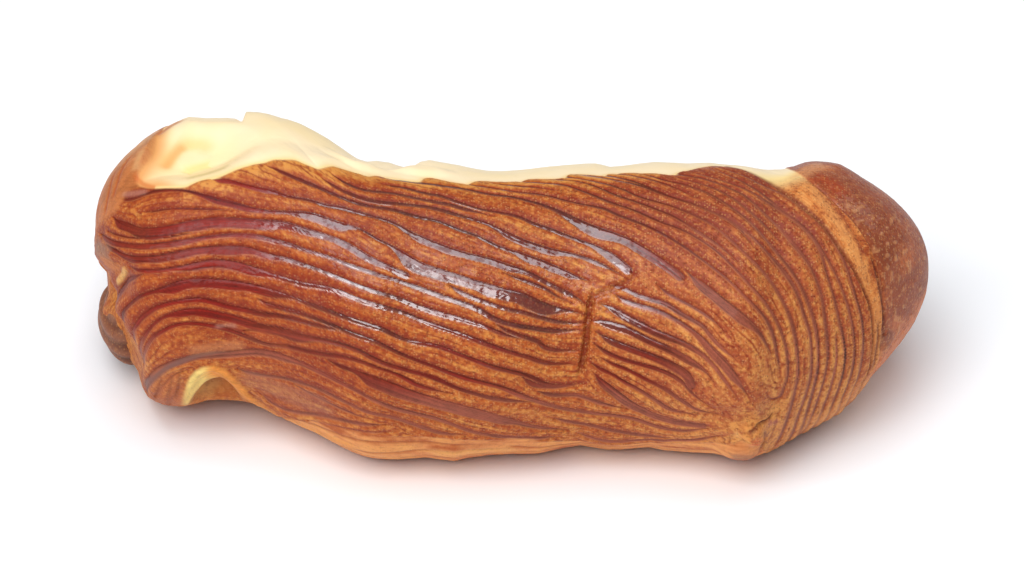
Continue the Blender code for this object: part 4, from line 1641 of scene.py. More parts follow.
    def work_out_tint(self) -> np.ndarray:
        """Colour of the crust at each point.

        Formula: every part has its own mix of the palette by streaks and random fields, and
        the parts, the arch and the strokes are laid over each other by their shares. The
        crease is painted darker as shade, and the strips' upper side is painted darker, a
        painted shade against the overhead lamp.

        Returns:
            The colour, as linear light.
        """
        palette = self.palette
        drawn = cloud(
            Seed.BASE_GRAIN,
            self.along / 6 + FIELD_SHIFT[0],
            self.angle * DEGREE_MM + FIELD_SHIFT[1],
            1.3,
        )
        light = 0.52 + 0.9 * drawn + 0.2 * self.middle + 0.25 * self.fine
        out = self.ramp(light, palette.pillow, palette.lip, palette.base)
        out = tinted(out, self.strip_tint(), self.wrap)
        out = tinted(out, self.gilt_tint(), self.gilt)
        out = tinted(out, self.nose_tint(), self.domed)
        out = tinted(out, self.cream_tint(), self.bare)
        lip = hump(self.from_seam, -0.25, 0.35) * (self.x > -72) * (self.nose > 0) * (self.angle > -34)
        out = tinted(out, palette.cream_warm, 0.8 * lip)
        turn_gold = ease(0.5 + (self.x + 60.5) / 4 + 0.8 * self.middle)
        arch = tinted(palette.arch_pale, palette.arch_gold, turn_gold)
        arch = arch * (1 + 0.10 * self.fine + 0.10 * self.streak)[..., None]
        out = tinted(out, arch, 0.92 * self.golden)
        light = 0.5 + 0.5 * self.middle + 0.4 * self.fine
        under = self.ramp(light, palette.pillow_dark, palette.base_brown, palette.gold)
        out = tinted(out, under, 0.9 * self.inner)
        for stroke, share in self.strokes:
            out = tinted(out, colour(*stroke.tint), stroke.strength * share)
        # painted shade: the pressed crease darkened in its groove
        out = tinted(out, palette.pillow_dark * 0.8, 0.8 * self.pressed)
        out = tinted(out, palette.base_brown, 0.8 * self.underside)
        # painted shade: the strips' upper side darkened against the overhead lamp's light
        return out * (1 - 0.07 * self.wrap * falling(self.turned, 66, 60))[..., None]

    def strip_lightness(self) -> np.ndarray:
        """How light the strips are baked: 0 for dark, 0.5 for plain and 1 for light.

        Formula: streaks and random fields of four sizes, lighter in a strip's upper half and
        beside the seam, darker at its lower edge (partly the crust's own colour, partly painted
        light and shade on the strip's round), and then more or less for each region.

        Returns:
            The lightness at each point.
        """
        x, angle, fading = self.x, self.angle, self.fading
        # across a strip: partly the crust's own colour, partly painted light on its upper half and painted
        # shade at its lower edge
        across = 0.24 * hump(self.place, 0.40, 0.26) - 0.26 * hump(self.place, 0.95, 0.22)
        light = 0.37 + 0.09 * self.long_streak + 0.20 * self.middle + 0.12 * self.fine
        light = light + 0.26 * self.cloud(Seed.STRIP_SPECKS, 0.6, 1) + across
        light = light + 0.14 * self.slow + 0.6 * hump(self.seam, 1.0, 2.8) * (x > -66) * (x < 30)
        light = light + 0.15 * rising(x, 40, 20) + 0.10 * rising(angle, 85, 30) * fading
        light = light - 0.10 * falling(x, -4, 30) * (angle < 100)
        light = light - 0.12 * falling(x, -12, 30) * rising(angle, 36, 20) * falling(angle, 100, 15)
        light = light + 0.16 * hump(x, -74, 14) * hump(angle, 88, 40)
        light = light + 0.14 * rising(x, 12, 30) * rising(angle, 45, 25) * fading
        light = light - 0.16 * rising(x, 12, 20) * hump(angle, 10, 26)
        return light - 0.07 * rising(x, -44, 20) * hump(angle, 16, 22)

    def strip_tint(self) -> np.ndarray:
        """Colour of the strips, the bands between them and the rolled left rim.

        Formula: three browns in turn by lightness, with a painted sheen at the right, darker
        in painted shade next to the crack at a strip's lower edge, in lines and in pits,
        under the bands and the rim by their shares.

        Returns:
            The colour at each point.
        """
        palette = self.palette
        strip = self.ramp(
            self.strip_lightness(), palette.pillow_dark, palette.pillow, palette.pillow_light
        )
        # painted sheen: a pale pinkish haze laid over the strips at the right
        strip = tinted(strip, palette.painted_sheen, 0.07 * rising(self.x, 10, 30) * self.front)
        # painted shade: the strip darker right beside the crack at its lower edge; the lines and pits are the
        # dough's own
        deep = bell(np.maximum(self.strips.stamp.over, 0) / 0.24) * (0.6 - 0.3 * self.soft)
        deep = deep + 0.9 * self.inner_lines + 0.45 * self.pits
        strip = tinted(strip, palette.pillow_dark, deep.clip(0, 0.9))
        strip = tinted(strip, self.band_tint(), self.banded)
        light = ease((6 - self.turned) / 30 + 0.4 * self.middle) * rising(self.turned, -120, 60)
        rim = tinted(palette.rim, palette.rim_light, light)
        rim = rim * (1 + 0.2 * self.middle + 0.16 * self.fine + 0.06 * self.streak)[..., None]
        return tinted(strip, rim, 0.9 * self.rim)

    def band_tint(self) -> np.ndarray:
        """Colour of the glazed bands, with a painted shadow in the crack above and a golden lip below.

        Formula: two reds mixed by a slow random field, uneven along the strips and darker
        where the lamps reach, then a bell of the distance from each edge: painted shadow
        in the crack above, the golden lip below.

        Returns:
            The colour at each point.
        """
        palette, stamp = self.palette, self.strips.stamp
        left_end = hump(self.x, -54, 16) * hump(self.angle, 52, 30)
        red = ease(0.30 + 1.0 * self.cloud(Seed.BAND_RED, 18.0) + 0.9 * left_end)
        band = tinted(palette.band, palette.band_red, red)
        band = tinted(band, palette.arc_band, self.soft)
        # the bands are painted darker where the lamps reach, to set off their highlights
        uneven = (1 + 0.22 * self.long_streak + 0.15 * self.fine) * (1 - 0.28 * self.lit)
        band = band * uneven[..., None]
        # painted shadow: the crack at a band's upper edge is darkened by the line colour
        dark = (0.35 + 0.65 * ease(0.5 + self.cloud(Seed.CRACK_SHADE, 7.0))) * (1 - 0.5 * self.soft)
        dark = dark * mix(0.5, 1.0, ease(self.from_seam / 8))
        band = tinted(band, palette.line, dark * bell((stamp.across + stamp.half) / 0.22))
        return tinted(band, palette.lip, 0.45 * bell((stamp.half - stamp.across) / 0.16))

    def cream_tint(self) -> np.ndarray:
        """Colour of the bare dough, toasted towards its edges and on the pocket's wall.

        Formula: cream and warm cream mixed by a random field, then toast by a bell of the
        distance from the seam, wider on the wall.

        Returns:
            The colour at each point.
        """
        palette = self.palette
        pocket = POCKET.at(self.x, self.angle)
        warm = ease(0.30 + 0.6 * self.cloud(Seed.CREAM_WARM, 9.0) + pocket / 14)
        cream = tinted(palette.cream, palette.cream_warm, warm * 0.5)
        wall = falling(self.x, -66, 6)
        near = bell(np.minimum(self.seam, 0) / (1.4 + 3.0 * wall))
        edge = tinted(palette.cream_warm, palette.toast, near**1.5)
        return tinted(cream, edge, near * (0.55 + 0.4 * wall))

    def gilt_tint(self) -> np.ndarray:
        """Colour of the flat strip beside the nose, pale on top, with a painted shadow in the crack at its
        edge.

        Formula: three golds in turn by random fields, cream on top, then two bells of the
        distance from the last arc.

        Returns:
            The colour at each point.
        """
        palette = self.palette
        gold = 0.52 + 0.4 * self.middle + 0.35 * self.fine + 0.15 * self.streak
        gold = gold - 0.30 * ease(-self.nose / 4 - 0.4)
        gilt = self.ramp(gold, palette.pillow_dark, palette.gold, palette.base)
        top = tinted(palette.cream_warm, palette.cream, falling(self.angle, -16, 12))
        gilt = tinted(gilt, top, self.pale)
        lined = rising(self.angle, -46, 12)
        gilt = tinted(gilt, palette.band, 0.9 * lined * hump(self.nose, -0.25, 0.5))
        # painted shadow in the crack at the last arc
        return tinted(gilt, palette.line, 0.85 * lined * hump(self.nose, 0.05, 0.22))

    def nose_tint(self) -> np.ndarray:
        """Colour of the nose, darker in the middle of its front and with pale blisters.

        Formula: two browns mixed by a random field and the angle, times a bell round the
        dark middle, with mottling.

        Returns:
            The colour at each point.
        """
        palette = self.palette
        tone = self.cloud(Seed.NOSE_TONE, 7.0, 3, self.scale, self.view)
        light = 0.08 + 0.6 * tone + 0.8 * rising(self.angle, 66, 56) * self.fading + 0.2 * self.slow
        dark_middle = hump(self.x, 71, 8) * hump(self.angle, 32, 24)
        light = ease(light) * (1 - 0.6 * dark_middle)
        dome = tinted(palette.nose, palette.nose_light, light) * (1 - 0.22 * dark_middle)[..., None]
        dome = tinted(dome, palette.blister, 0.5 * self.blisters)
        mottle = self.cloud(Seed.NOSE_MOTTLE, 1.6, 2, self.scale, self.view)
        return dome * (1 + 0.12 * mottle)[..., None]

    def work_out_gloss(self) -> np.ndarray:
        """Gloss at each point.

        Formula: full on the bands where the lamps reach, less towards the right and below,
        none in their cracks, and a little in spots on the strips and on the nose.

        Returns:
            The gloss, 0 for matt crust and 1 for glaze.
        """
        from_upper = self.strips.stamp.across + self.strips.stamp.half
        facing = mix(1.0, 0.4, np.maximum(self.soft, rising(self.angle, 66, 24)))
        gloss = self.wrap * self.banded * (1 - bell(from_upper / 0.22)) * self.smooth
        gloss = gloss * facing * mix(0.06, 1.0, self.lit)
        gloss = gloss + 0.10 * self.domed
        gleams = ease(0.4 + self.cloud(Seed.GLEAMS, 3.0))
        spotted = 0.008 + (0.015 + 0.15 * self.lit * hump(self.angle, 48, 22)) * gleams
        gloss = gloss + spotted * facing * self.wrap * (1 - self.banded)
        return gloss * (1 - self.underside)

    def work_out_grain(self) -> np.ndarray:
        """Coarseness of the baked grain: full on strips and nose, less on bands and below.

        Formula: the parts' shares, times how smooth the crust is and a step along the roll.

        Returns:
            The coarseness at each point, 0 for smooth skin.
        """
        calm = mix(0.6, 1.0, rising(self.x, -42, 34))
        grain = self.wrap * self.smooth * calm * mix(1.0, 0.25 * self.lit, self.banded) + self.domed
        grain = grain + self.gilt * (1 - self.pale)
        return grain + 0.4 * self.rest

    @staticmethod
    def ramp(value: np.ndarray, low: np.ndarray, middle: np.ndarray, high: np.ndarray) -> np.ndarray:
        """Three colours in turn as the value goes from 0 to 1."""
        first = tinted(low, middle, (2 * value).clip(0, 1))
        return tinted(first, high, (2 * value - 1).clip(0, 1))


# ---------------------------------------------------------------------------------------
# Finishes
# ---------------------------------------------------------------------------------------


class Reading(Enum):
    """Names of what the skin's points carry for the finishes."""

    TINT = "tint"
    GLOSS = "gloss"
    GRAIN = "grain"


class NodeDesk:
    """Adds nodes to one tree and joins them."""

    def __init__(self, tree: bpy.types.NodeTree) -> None:
        """Takes the tree to work on."""
        self.tree = tree

    def add(self, kind: str, **values: object) -> bpy.types.Node:
        """Adds a node and sets its properties.

        Args:
            kind: Blender's name of its type.
            values: its properties by name.

        Returns:
            The node.
        """
        node = self.tree.nodes.new(kind)
        for name, value in values.items():
            setattr(node, name, value)
        return node

    def feed(self, socket: bpy.types.NodeSocket, source: object) -> None:
        """Joins a source to a socket, or sets the socket's value.

        Args:
            socket: the socket that takes it.
            source: another node's socket, or a value.
        """
        if isinstance(source, bpy.types.NodeSocket):
            self.tree.links.new(source, socket)
        else:
            socket.default_value = source

    def math(self, operation: str, *values: object) -> bpy.types.NodeSocket:
        """One step of arithmetic.

        Args:
            operation: Blender's name of it.
            values: sockets or numbers, in order.

        Returns:
            The result.
        """
        node = self.add("ShaderNodeMath", operation=operation)
        for socket, value in zip(node.inputs, values):
            self.feed(socket, value)
        return node.outputs[0]

    def blend(self, share: object, first: object, second: object) -> bpy.types.NodeSocket:
        """Two colours mixed by a share.

        Args:
            share: how much of the second.
            first: the colour at share 0.
            second: the colour at share 1.

        Returns:
            The mixed colour.
        """
        node = self.add("ShaderNodeMix", data_type="RGBA", blend_type="MIX")
        for socket, value in zip((node.inputs[0], node.inputs[6], node.inputs[7]), (share, first, second)):
            self.feed(socket, value)
        return node.outputs[2]

    def spread(self, value: object, low: float, high: float, out: Place = (0.0, 1.0)) -> bpy.types.NodeSocket:
        """A value's range from low to high, stretched to another and cut there.

        Formula: a smooth step from low to high, laid between the two new limits.

        Args:
            value: the value.
            low: where the range starts.
            high: where it ends.
            out: what low and high become.

        Returns:
            The stretched value.
        """
        node = self.add("ShaderNodeMapRange", interpolation_type="SMOOTHSTEP")
        for socket, given in zip(node.inputs, (value, low, high, *out)):
            self.feed(socket, given)
        return node.outputs[0]

    def noise(self, size: float, detail: float, place: object) -> bpy.types.NodeSocket:
        """Noise with a given size in millimetres.

        Args:
            size: size of the largest patches.
            detail: how many finer sizes are added.
            place: the coordinates that it is read at, in metres.

        Returns:
            The noise, from 0 to 1.
        """
        node = self.add("ShaderNodeTexNoise")
        node.inputs["Scale"].default_value = 1 / (size * MM)
        node.inputs["Detail"].default_value = detail
        self.feed(node.inputs["Vector"], place)
        return node.outputs["Fac"]


@dataclass(frozen=True)
class CrumbGroup:
    """A node group of fine baked grain: pits and specks in the open crust.

    Attributes:
        name: the group's name.
        bead_size: size of the beads and pores in millimetres.
        mottle_size: size of the uneven browning in millimetres.
        browned: linear colour and strength of the browner mottling.
        warmed: those of the warmer mottling between.
        beaded: those of the pale beads.
        pored: those of the dark pores.
    """

    name: str = "baked_grain"
    bead_size: float = 0.5
    mottle_size: float = 0.9
    browned: tuple[tuple[float, float, float], float] = ((0.22, 0.040, 0.010), 0.50)
    warmed: tuple[tuple[float, float, float], float] = ((0.72, 0.30, 0.075), 0.22)
    beaded: tuple[tuple[float, float, float], float] = ((0.78, 0.39, 0.14), 0.34)
    pored: tuple[tuple[float, float, float], float] = ((0.13, 0.026, 0.008), 0.40)

    def build(self) -> bpy.types.NodeTree:
        """Builds the group.

        Formula: cells of a Voronoi pattern are beads or pores by a random number each, and
        noise gives the mottling. Each tint is mixed in by its pattern times its strength
        times the coarseness. The height is the beads' less the pores', times the same.

        Returns:
            A tree that takes a colour and how coarse the grain is, and puts out the
            speckled colour and a height.
        """
        tree = bpy.data.node_groups.new(self.name, "ShaderNodeTree")
        for name, kind in (("Colour", "NodeSocketColor"), ("Coarseness", "NodeSocketFloat")):
            tree.interface.new_socket(name, in_out="INPUT", socket_type=kind)
        for name, kind in (("Colour", "NodeSocketColor"), ("Height", "NodeSocketFloat")):
            tree.interface.new_socket(name, in_out="OUTPUT", socket_type=kind)
        desk = NodeDesk(tree)
        given, out = desk.add("NodeGroupInput"), desk.add("NodeGroupOutput")
        place = desk.add("ShaderNodeTexCoord").outputs["Object"]
        beads = desk.add("ShaderNodeTexVoronoi")
        beads.inputs["Scale"].default_value = 1 / (self.bead_size * MM)
        desk.feed(beads.inputs["Vector"], place)
        dot = desk.spread(beads.outputs["Distance"], 0.15, 0.62, (1.0, 0.0))
        split = desk.add("ShaderNodeSeparateColor")
        desk.feed(split.inputs["Color"], beads.outputs["Color"])
        pick = split.outputs["Red"]
        bead = desk.math("MULTIPLY", dot, desk.spread(pick, 0.45, 0.80))
        pore = desk.math("MULTIPLY", dot, desk.spread(pick, 0.16, 0.36, (1.0, 0.0)))
        coarse = given.outputs["Coarseness"]
        mottle = desk.noise(self.mottle_size, 3.0, place)
        tint = given.outputs["Colour"]
        for pattern, (over, strength) in (
            (desk.spread(mottle, 0.50, 0.72), self.browned),
            (desk.spread(mottle, 0.30, 0.46, (1.0, 0.0)), self.warmed),
            (bead, self.beaded),
            (pore, self.pored),
        ):
            share = desk.math("MULTIPLY", pattern, desk.math("MULTIPLY", coarse, strength))
            tint = desk.blend(share, tint, (*over, 1))
        height = desk.math("SUBTRACT", desk.math("MULTIPLY", bead, 0.8), pore)
        desk.feed(out.inputs["Colour"], tint)
        desk.feed(out.inputs["Height"], desk.math("MULTIPLY", height, coarse))
        return tree


@dataclass(frozen=True)
class BakedFinish:
    """The finish of the baked dough, read from what each point of the skin carries.

    Attributes:
        name: the material's name.
        grain: the group of fine grain.
        matt: roughness of the open crust.
        glazed: roughness of the glossy bands.
        coat: weight of the glaze's clear coat on the bands.
        coat_roughness: roughness of that coat.
        coat_ior: its index of refraction.
        patch_size: size of the glaze's thin and full patches, in millimetres.
        specular: how strongly the crust itself reflects, next to its clear coat.
        relief: how deep the fine grain is, in millimetres.
    """

    name: str
    grain: bpy.types.NodeTree
    matt: float = 0.50
    glazed: float = 0.30
    coat: float = 1.0
    coat_roughness: float = 0.10
    coat_ior: float = 2.0
    patch_size: float = 1.3
    specular: float = 0.16
    relief: float = 0.09

    def build(self) -> bpy.types.Material:
        """Builds the material.

        Formula: the colour goes through the grain group, whose height makes the bump. The
        shine is the gloss times a patchy noise; it sets the coat's weight, and takes the
        roughness from matt to glazed.

        Returns:
            The material.
        """
        material = bpy.data.materials.new(self.name)
        material.use_nodes = True
        desk = NodeDesk(material.node_tree)
        shader = material.node_tree.nodes["Principled BSDF"]
        read = {kind: desk.add("ShaderNodeAttribute", attribute_name=kind.value) for kind in Reading}
        gloss, coarse = read[Reading.GLOSS].outputs["Fac"], read[Reading.GRAIN].outputs["Fac"]
        grain = desk.add("ShaderNodeGroup", node_tree=self.grain)
        desk.feed(grain.inputs["Colour"], read[Reading.TINT].outputs["Color"])
        desk.feed(grain.inputs["Coarseness"], coarse)
        desk.feed(shader.inputs["Base Color"], grain.outputs["Colour"])
        place = desk.add("ShaderNodeTexCoord").outputs["Object"]
        patchy = desk.noise(self.patch_size, 3.0, place)
        shine = desk.math("MULTIPLY", gloss, desk.spread(patchy, 0.36, 0.52, (0.45, 1.0)))
        roughness = desk.spread(shine, 0.0, 1.0, (self.matt, self.glazed))
        desk.feed(shader.inputs["Roughness"], roughness)
        desk.feed(shader.inputs["Coat Weight"], desk.math("MULTIPLY", shine, self.coat))
        shader.inputs["Coat Roughness"].default_value = self.coat_roughness
        shader.inputs["Coat IOR"].default_value = self.coat_ior
        shader.inputs["Specular IOR Level"].default_value = self.specular
        bump = desk.add("ShaderNodeBump")
        bump.inputs["Distance"].default_value = self.relief * MM
        bump.inputs["Strength"].default_value = 1.0
        desk.feed(bump.inputs["Height"], grain.outputs["Height"])
        desk.feed(shader.inputs["Normal"], bump.outputs["Normal"])
        return material


# ---------------------------------------------------------------------------------------
# Pieces
# ---------------------------------------------------------------------------------------


def write_reading(mesh: bpy.types.Mesh, kind: Reading, values: np.ndarray) -> None:
    """Writes one reading to a mesh's points: a colour for the tint, or else a number.

    Args:
        mesh: the mesh.
        kind: the reading.
        values: one row for each point.
    """
    name, place = ("FLOAT_COLOR", "color") if kind is Reading.TINT else ("FLOAT", "value")
    if kind is Reading.TINT:
        values = np.column_stack([values, np.ones(len(values))])
    attribute = mesh.attributes.new(kind.value, name, "POINT")
    attribute.data.foreach_set(place, values.astype(np.float32).ravel())


def dressed(name: str, mesh: bpy.types.Mesh, finish: bpy.types.Material) -> bpy.types.Object:
    """Makes a smooth object of a mesh, with its finish, puts it in the scene and logs it.

    Args:
        name: the object's name.
        mesh: its mesh.
        finish: its material.

    Returns:
        The object.
    """
    mesh.polygons.foreach_set("use_smooth", np.ones(len(mesh.polygons), bool))
    mesh.materials.append(finish)
    piece = bpy.data.objects.new(name, mesh)
    bpy.context.scene.collection.objects.link(piece)
    LOG.info("%s: %d points", name, len(mesh.vertices))
    return piece


@dataclass
class CrustPieces:
    """Cuts the skin into named pieces that meet edge to edge, and dresses them.

    Attributes:
        crust: the skin's fields.
        finish: the material.
        front_names: the pieces of the front, from left to right.
        back_names: the pieces behind and below, from left to right.
    """

    crust: Crust
    finish: bpy.types.Material
    front_names: tuple[str, ...] = (
        "folded_left_end",
        "left_strips",
        "middle_strips",
        "right_strips",
        "nose_and_arcs",
    )
    back_names: tuple[str, ...] = ("back_left_strips", "back_right_strips")

    def build(self) -> list[bpy.types.Object]:
        """Builds every piece.

        Returns:
            The pieces' objects.
        """
        form = self.crust.form
        grid = form.points(self.crust.height)
        self.points = np.concatenate([grid, grid[:1]])
        self.normals = self.outward(grid)
        self.fields = {
            Reading.TINT: self.closed(self.crust.tint),
            Reading.GLOSS: self.closed(self.crust.gloss),
            Reading.GRAIN: self.closed(self.crust.grain),
        }
        turn = int(np.searchsorted(form.angles, form.front[1]))
        last = len(self.points) - 1
        made = []
        for names, rows in ((self.front_names, (0, turn)), (self.back_names, (turn, last))):
            cuts = np.linspace(0, len(form.along) - 1, len(names) + 1).astype(int)
            for name, first, end in zip(names, cuts, cuts[1:]):
                made.append(self.piece(name, rows, (first, end)))
        return made

    @staticmethod
    def closed(values: np.ndarray) -> np.ndarray:
        """The rows with the first again at the end, where the round closes."""
        return np.concatenate([values, values[:1]])

    @staticmethod
    def outward(grid: np.ndarray) -> np.ndarray:
        """Outward normals of the grid, the same for every piece at an edge they share.

        Formula: the cross product of the steps along the roll and round it.

        Args:
            grid: the points, rows round the roll.

        Returns:
            Unit normals, with the first row again at the end.
        """
        round_ = np.concatenate([grid[-1:], grid, grid[:1]])
        around = round_[2:] - round_[:-2]
        along = np.gradient(grid, axis=1)
        normal = np.cross(around, along)
        normal /= np.maximum(np.linalg.norm(normal, axis=-1, keepdims=True), 1e-12)
        return np.concatenate([normal, normal[:1]])

    def piece(self, name: str, rows: tuple[int, int], columns: tuple[int, int]) -> bpy.types.Object:
        """Makes one piece from a block of the grid.

        Formula: a four-cornered face for each square of the block, and where it holds an
        end of the roll, a fan of triangles to a point in the middle of that end's ring.

        Args:
            name: the piece's name.
            rows: first and last row.
            columns: first and last column.

        Returns:
            The object.
        """
        block = (slice(rows[0], rows[1] + 1), slice(columns[0], columns[1] + 1))
        points, normals = self.points[block].reshape(-1, 3), self.normals[block].reshape(-1, 3)
        high = rows[1] - rows[0] + 1
        index = np.arange(len(points)).reshape(high, -1)
        squares = (index[:-1, :-1], index[1:, :-1], index[1:, 1:], index[:-1, 1:])
        corners = np.stack(squares, axis=-1).ravel()
        sizes = np.full(len(corners) // 4, 4)
        at_right = columns[1] == len(self.crust.form.along) - 1
        ends = []
        for edge, present, facing in ((0, columns[0] == 0, -1.0), (-1, at_right, 1.0)):
            if not present:
                continue
            side = index[:, edge]
            pair = (side[1:], side[:-1]) if edge == 0 else (side[:-1], side[1:])
            fan = np.stack([*pair, np.full(high - 1, len(points))], axis=-1)
            corners = np.concatenate([corners, fan.ravel()])
            sizes = np.concatenate([sizes, np.full(high - 1, 3)])
            points = np.vstack([points, self.points[:-1, edge].mean(axis=0)])
            normals = np.vstack([normals, (facing, 0.0, 0.0)])
            ends.append(edge)
        mesh = self.mesh_of(name, points, corners, sizes)
        for kind, values in self.fields.items():
            part = values[block]
            tips = [part[:, edge].mean(axis=0, keepdims=True) for edge in ends]
            write_reading(mesh, kind, np.concatenate([part.reshape(-1, *part.shape[2:]), *tips]))
        piece = dressed(name, mesh, self.finish)
        mesh.normals_split_custom_set_from_vertices(normals.tolist())
        return piece

    @staticmethod
    def mesh_of(name: str, points: np.ndarray, corners: np.ndarray, sizes: np.ndarray) -> bpy.types.Mesh:
        """Makes a mesh.

        Args:
            name: its name.
            points: its points, in metres.
            corners: the points' numbers, face after face.
            sizes: how many corners each face has.

        Returns:
            The mesh.
        """
        mesh = bpy.data.meshes.new(name)
        mesh.vertices.add(len(points))
        mesh.vertices.foreach_set("co", points.astype(np.float32).ravel())
        mesh.loops.add(len(corners))
        mesh.loops.foreach_set("vertex_index", corners.astype(np.int32))
        mesh.polygons.add(len(sizes))
        starts = np.concatenate([[0], np.cumsum(sizes)[:-1]])
        mesh.polygons.foreach_set("loop_start", starts.astype(np.int32))
        mesh.update(calc_edges=True)
        return mesh


@dataclass
class RearFold:
    """The dark lobe of dough that shows behind the lower left corner.

    Attributes:
        finish: its material.
        middle: its middle in millimetres.
        half_sizes: half its sizes.
        turn: how far it is turned about Y, in degrees.
        rows: rows of its grid, from top to bottom.
        columns: columns of its grid.
        gloss: how glossy it is.
        grain: how coarse its grain is.
    """

    finish: bpy.types.Material
    middle: tuple[float, float, float] = (-77.9, 6.4, 11.6)
    half_sizes: tuple[float, float, float] = (6.6, 9.4, 8.4)
    turn: float = -12.0
    rows: int = 90
    columns: int = 140
    gloss: float = 0.04
    grain: float = 0.6

    def build(self) -> bpy.types.Object:
        """Builds the lobe.

        Formula: an ellipsoid whose reach is changed by ribs that run round it and by three
        slow swellings, then turned about Y. Its colour is painted light and shade: lighter
        at the top and to the left, darker below, to the right and in the ribs' hollows.

        Returns:
            The object.
        """
        around = np.linspace(0, 2 * math.pi, self.columns, endpoint=False)
        down, round_ = np.meshgrid(np.linspace(0, math.pi, self.rows), around, indexing="ij")
        unit = np.stack(
            [np.sin(down) * np.cos(round_), np.sin(down) * np.sin(round_), np.cos(down)], axis=-1
        )
        ribs = np.cos(13 * down + 3 * np.sin(round_))
        folds = 0.035 * ribs + 0.03 * np.sin(3 * round_) * np.sin(down)
        local = unit * (np.array(self.half_sizes) * (1 + folds[..., None]))
        turn = math.radians(self.turn)
        x = local[..., 0] * math.cos(turn) + local[..., 2] * math.sin(turn) + self.middle[0]
        z = local[..., 2] * math.cos(turn) - local[..., 0] * math.sin(turn) + self.middle[2]
        points = np.stack([x, local[..., 1] + self.middle[1], z], axis=-1) * MM
        index = np.arange(self.rows * self.columns).reshape(self.rows, self.columns)
        after = np.roll(index, -1, axis=1)
        quads = np.stack([index[:-1], index[1:], after[1:], after[:-1]], axis=-1).reshape(-1, 4)
        mesh = bpy.data.meshes.new("rear_fold")
        mesh.from_pydata(points.reshape(-1, 3), [], quads.tolist())
        mesh.validate()
        # painted light and shade: lighter at the top and to the left, darker below, to the right and in the
        # ribs' hollows
        light = ease(0.75 - 0.5 * down / math.pi - 0.3 * np.cos(round_) + 0.25 * ribs)
        tint = tinted(colour(78, 40, 28), colour(142, 90, 66), light).reshape(-1, 3)
        write_reading(mesh, Reading.TINT, tint)
        write_reading(mesh, Reading.GLOSS, np.full(len(tint), self.gloss))
        write_reading(mesh, Reading.GRAIN, np.full(len(tint), self.grain))
        return dressed("rear_fold", mesh, self.finish)


@dataclass(frozen=True)
class Lamp:
    """A rectangular soft lamp that faces the croissant.

    Attributes:
        name: its name.
        place: where it hangs, in metres.
        sides: the lengths of its two sides, in metres.
        power: its power in watts.
        tint: the colour of its light.
        shine: how strongly it shows in glossy surfaces.
    """

    name: str
    place: tuple[float, float, float]
    sides: tuple[float, float]
    power: float
    tint: tuple[float, float, float] = (0.96, 0.97, 1.0)
    shine: float = 1.0

    def hang(self, aim: np.ndarray) -> None:
        """Puts the lamp in the scene, turned towards a point.

        Args:
            aim: the point, in metres.
        """
        lamp = bpy.data.lights.new(self.name, "AREA")
        lamp.shape = "RECTANGLE"
        lamp.energy = self.power
        lamp.color = self.tint
        lamp.size, lamp.size_y = self.sides
        lamp.specular_factor = self.shine
        holder = bpy.data.objects.new(self.name, lamp)
        holder.location = self.place
        holder.rotation_mode = "QUATERNION"
        holder.rotation_quaternion = Vector(aim - np.array(self.place)).to_track_quat("-Z", "Y")
        bpy.context.scene.collection.objects.link(holder)


# A wide lamp in front and above, a strip at the left, a cool one overhead and a weak one behind
LAMPS = (
    Lamp("wide_front", (-0.20, -0.66, 1.04), (1.00, 0.80), 11.6),
    Lamp("left_strip", (-0.86, -0.36, 0.74), (0.30, 0.60), 2.0),
    Lamp("overhead", (-0.04, -0.02, 1.12), (0.8, 0.9), 5.7, (0.88, 0.94, 1.0)),
    Lamp("right_back", (0.9, 0.7, 0.6), (0.5, 0.5), 2.0, (1.0, 1.0, 1.0), 0.5),
)


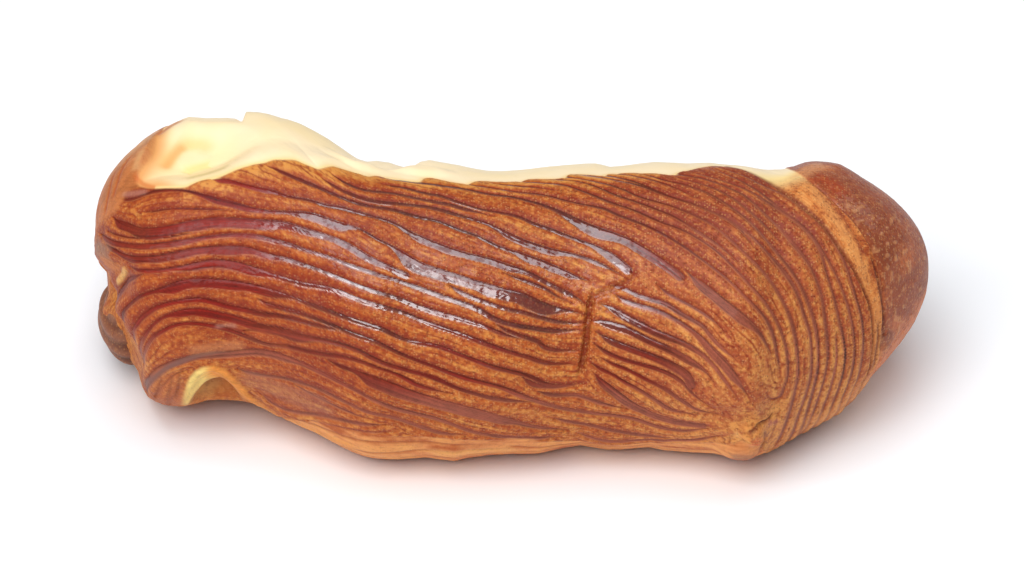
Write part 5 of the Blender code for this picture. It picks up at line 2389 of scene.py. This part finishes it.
@dataclass
class Studio:
    """The pale floor, the soft lights and the camera.

    Attributes:
        picture_scale: millimetres to a pixel of the photograph.
        picture_width: the photograph's width in pixels.
        elevation: how far above the horizon the camera looks from, in degrees.
        lens: the camera's focal length in millimetres.
        aim: the point that the camera looks at, in millimetres.
        sensor: the width of the camera's sensor in millimetres.
        lit_point: the point that the lamps face, in metres.
        sky: colour of the surround's light.
        sky_strength: its strength.
        floor_half: half the floor's side, in metres.
        floor_tint: linear colour of the floor.
    """

    picture_scale: float = 0.2036
    picture_width: int = 1024
    elevation: float = 40.0
    lens: float = 400.0
    aim: tuple[float, float, float] = (0.1, 0.0, 26.72)
    sensor: float = 36.0
    lit_point: tuple[float, float, float] = (0.0, 0.0, 0.03)
    sky: tuple[float, float, float] = (0.95, 0.97, 1.0)
    sky_strength: float = 0.21
    floor_half: float = 3.0
    floor_tint: tuple[float, float, float] = (0.97, 0.97, 0.97)

    def build(self) -> None:
        """Sets up the whole studio."""
        self.lay_floor()
        self.hang_lights()
        self.place_camera()

    def lay_floor(self) -> None:
        """A plain pale floor under the croissant."""
        size = self.floor_half
        mesh = bpy.data.meshes.new("pale_floor")
        corners = [(-size, -size, 0), (size, -size, 0), (size, size, 0), (-size, size, 0)]
        mesh.from_pydata(corners, [], [(0, 1, 2, 3)])
        material = bpy.data.materials.new("pale_floor")
        material.use_nodes = True
        shader = material.node_tree.nodes["Principled BSDF"]
        shader.inputs["Base Color"].default_value = (*self.floor_tint, 1)
        shader.inputs["Roughness"].default_value = 0.9
        shader.inputs["Specular IOR Level"].default_value = 0.1
        mesh.materials.append(material)
        floor = bpy.data.objects.new("pale_floor", mesh)
        bpy.context.scene.collection.objects.link(floor)

    def hang_lights(self) -> None:
        """A dim even surround and the four soft lamps."""
        world = bpy.data.worlds.new("studio")
        world.use_nodes = True
        background = world.node_tree.nodes["Background"]
        background.inputs["Color"].default_value = (*self.sky, 1)
        background.inputs["Strength"].default_value = self.sky_strength
        bpy.context.scene.world = world
        for lamp in LAMPS:
            lamp.hang(np.array(self.lit_point))

    def place_camera(self) -> None:
        """A long lens at the photograph's angle, as far off as makes the scale the same."""
        data = bpy.data.cameras.new("camera")
        data.lens, data.sensor_width = self.lens, self.sensor
        distance = self.picture_scale * self.picture_width * self.lens / data.sensor_width
        data.clip_start, data.clip_end = 0.01, 50.0
        camera = bpy.data.objects.new("camera", data)
        up = math.radians(self.elevation)
        away = np.array([0.0, -math.cos(up), math.sin(up)])
        camera.location = (np.array(self.aim) + away * distance) * MM
        camera.rotation_euler = (math.pi / 2 - up, 0.0, 0.0)
        bpy.context.scene.collection.objects.link(camera)
        bpy.context.scene.camera = camera
        bpy.context.scene.view_settings.view_transform = "Standard"


def main() -> None:
    """Builds the croissant, then the studio round it."""
    logging.basicConfig(level=logging.INFO)
    form = RolledForm()
    strips = StripPattern(form)
    LOG.info("%d bands drawn", strips.count)
    crust = Crust(form, strips)
    finish = BakedFinish("baked_crust", CrumbGroup().build()).build()
    pieces = CrustPieces(crust, finish).build()
    pieces.append(RearFold(finish).build())
    for piece in pieces:
        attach(piece, BODY)
        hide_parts(CAD_NODE)
    Studio().build()


if __name__ == "__main__":
    main()
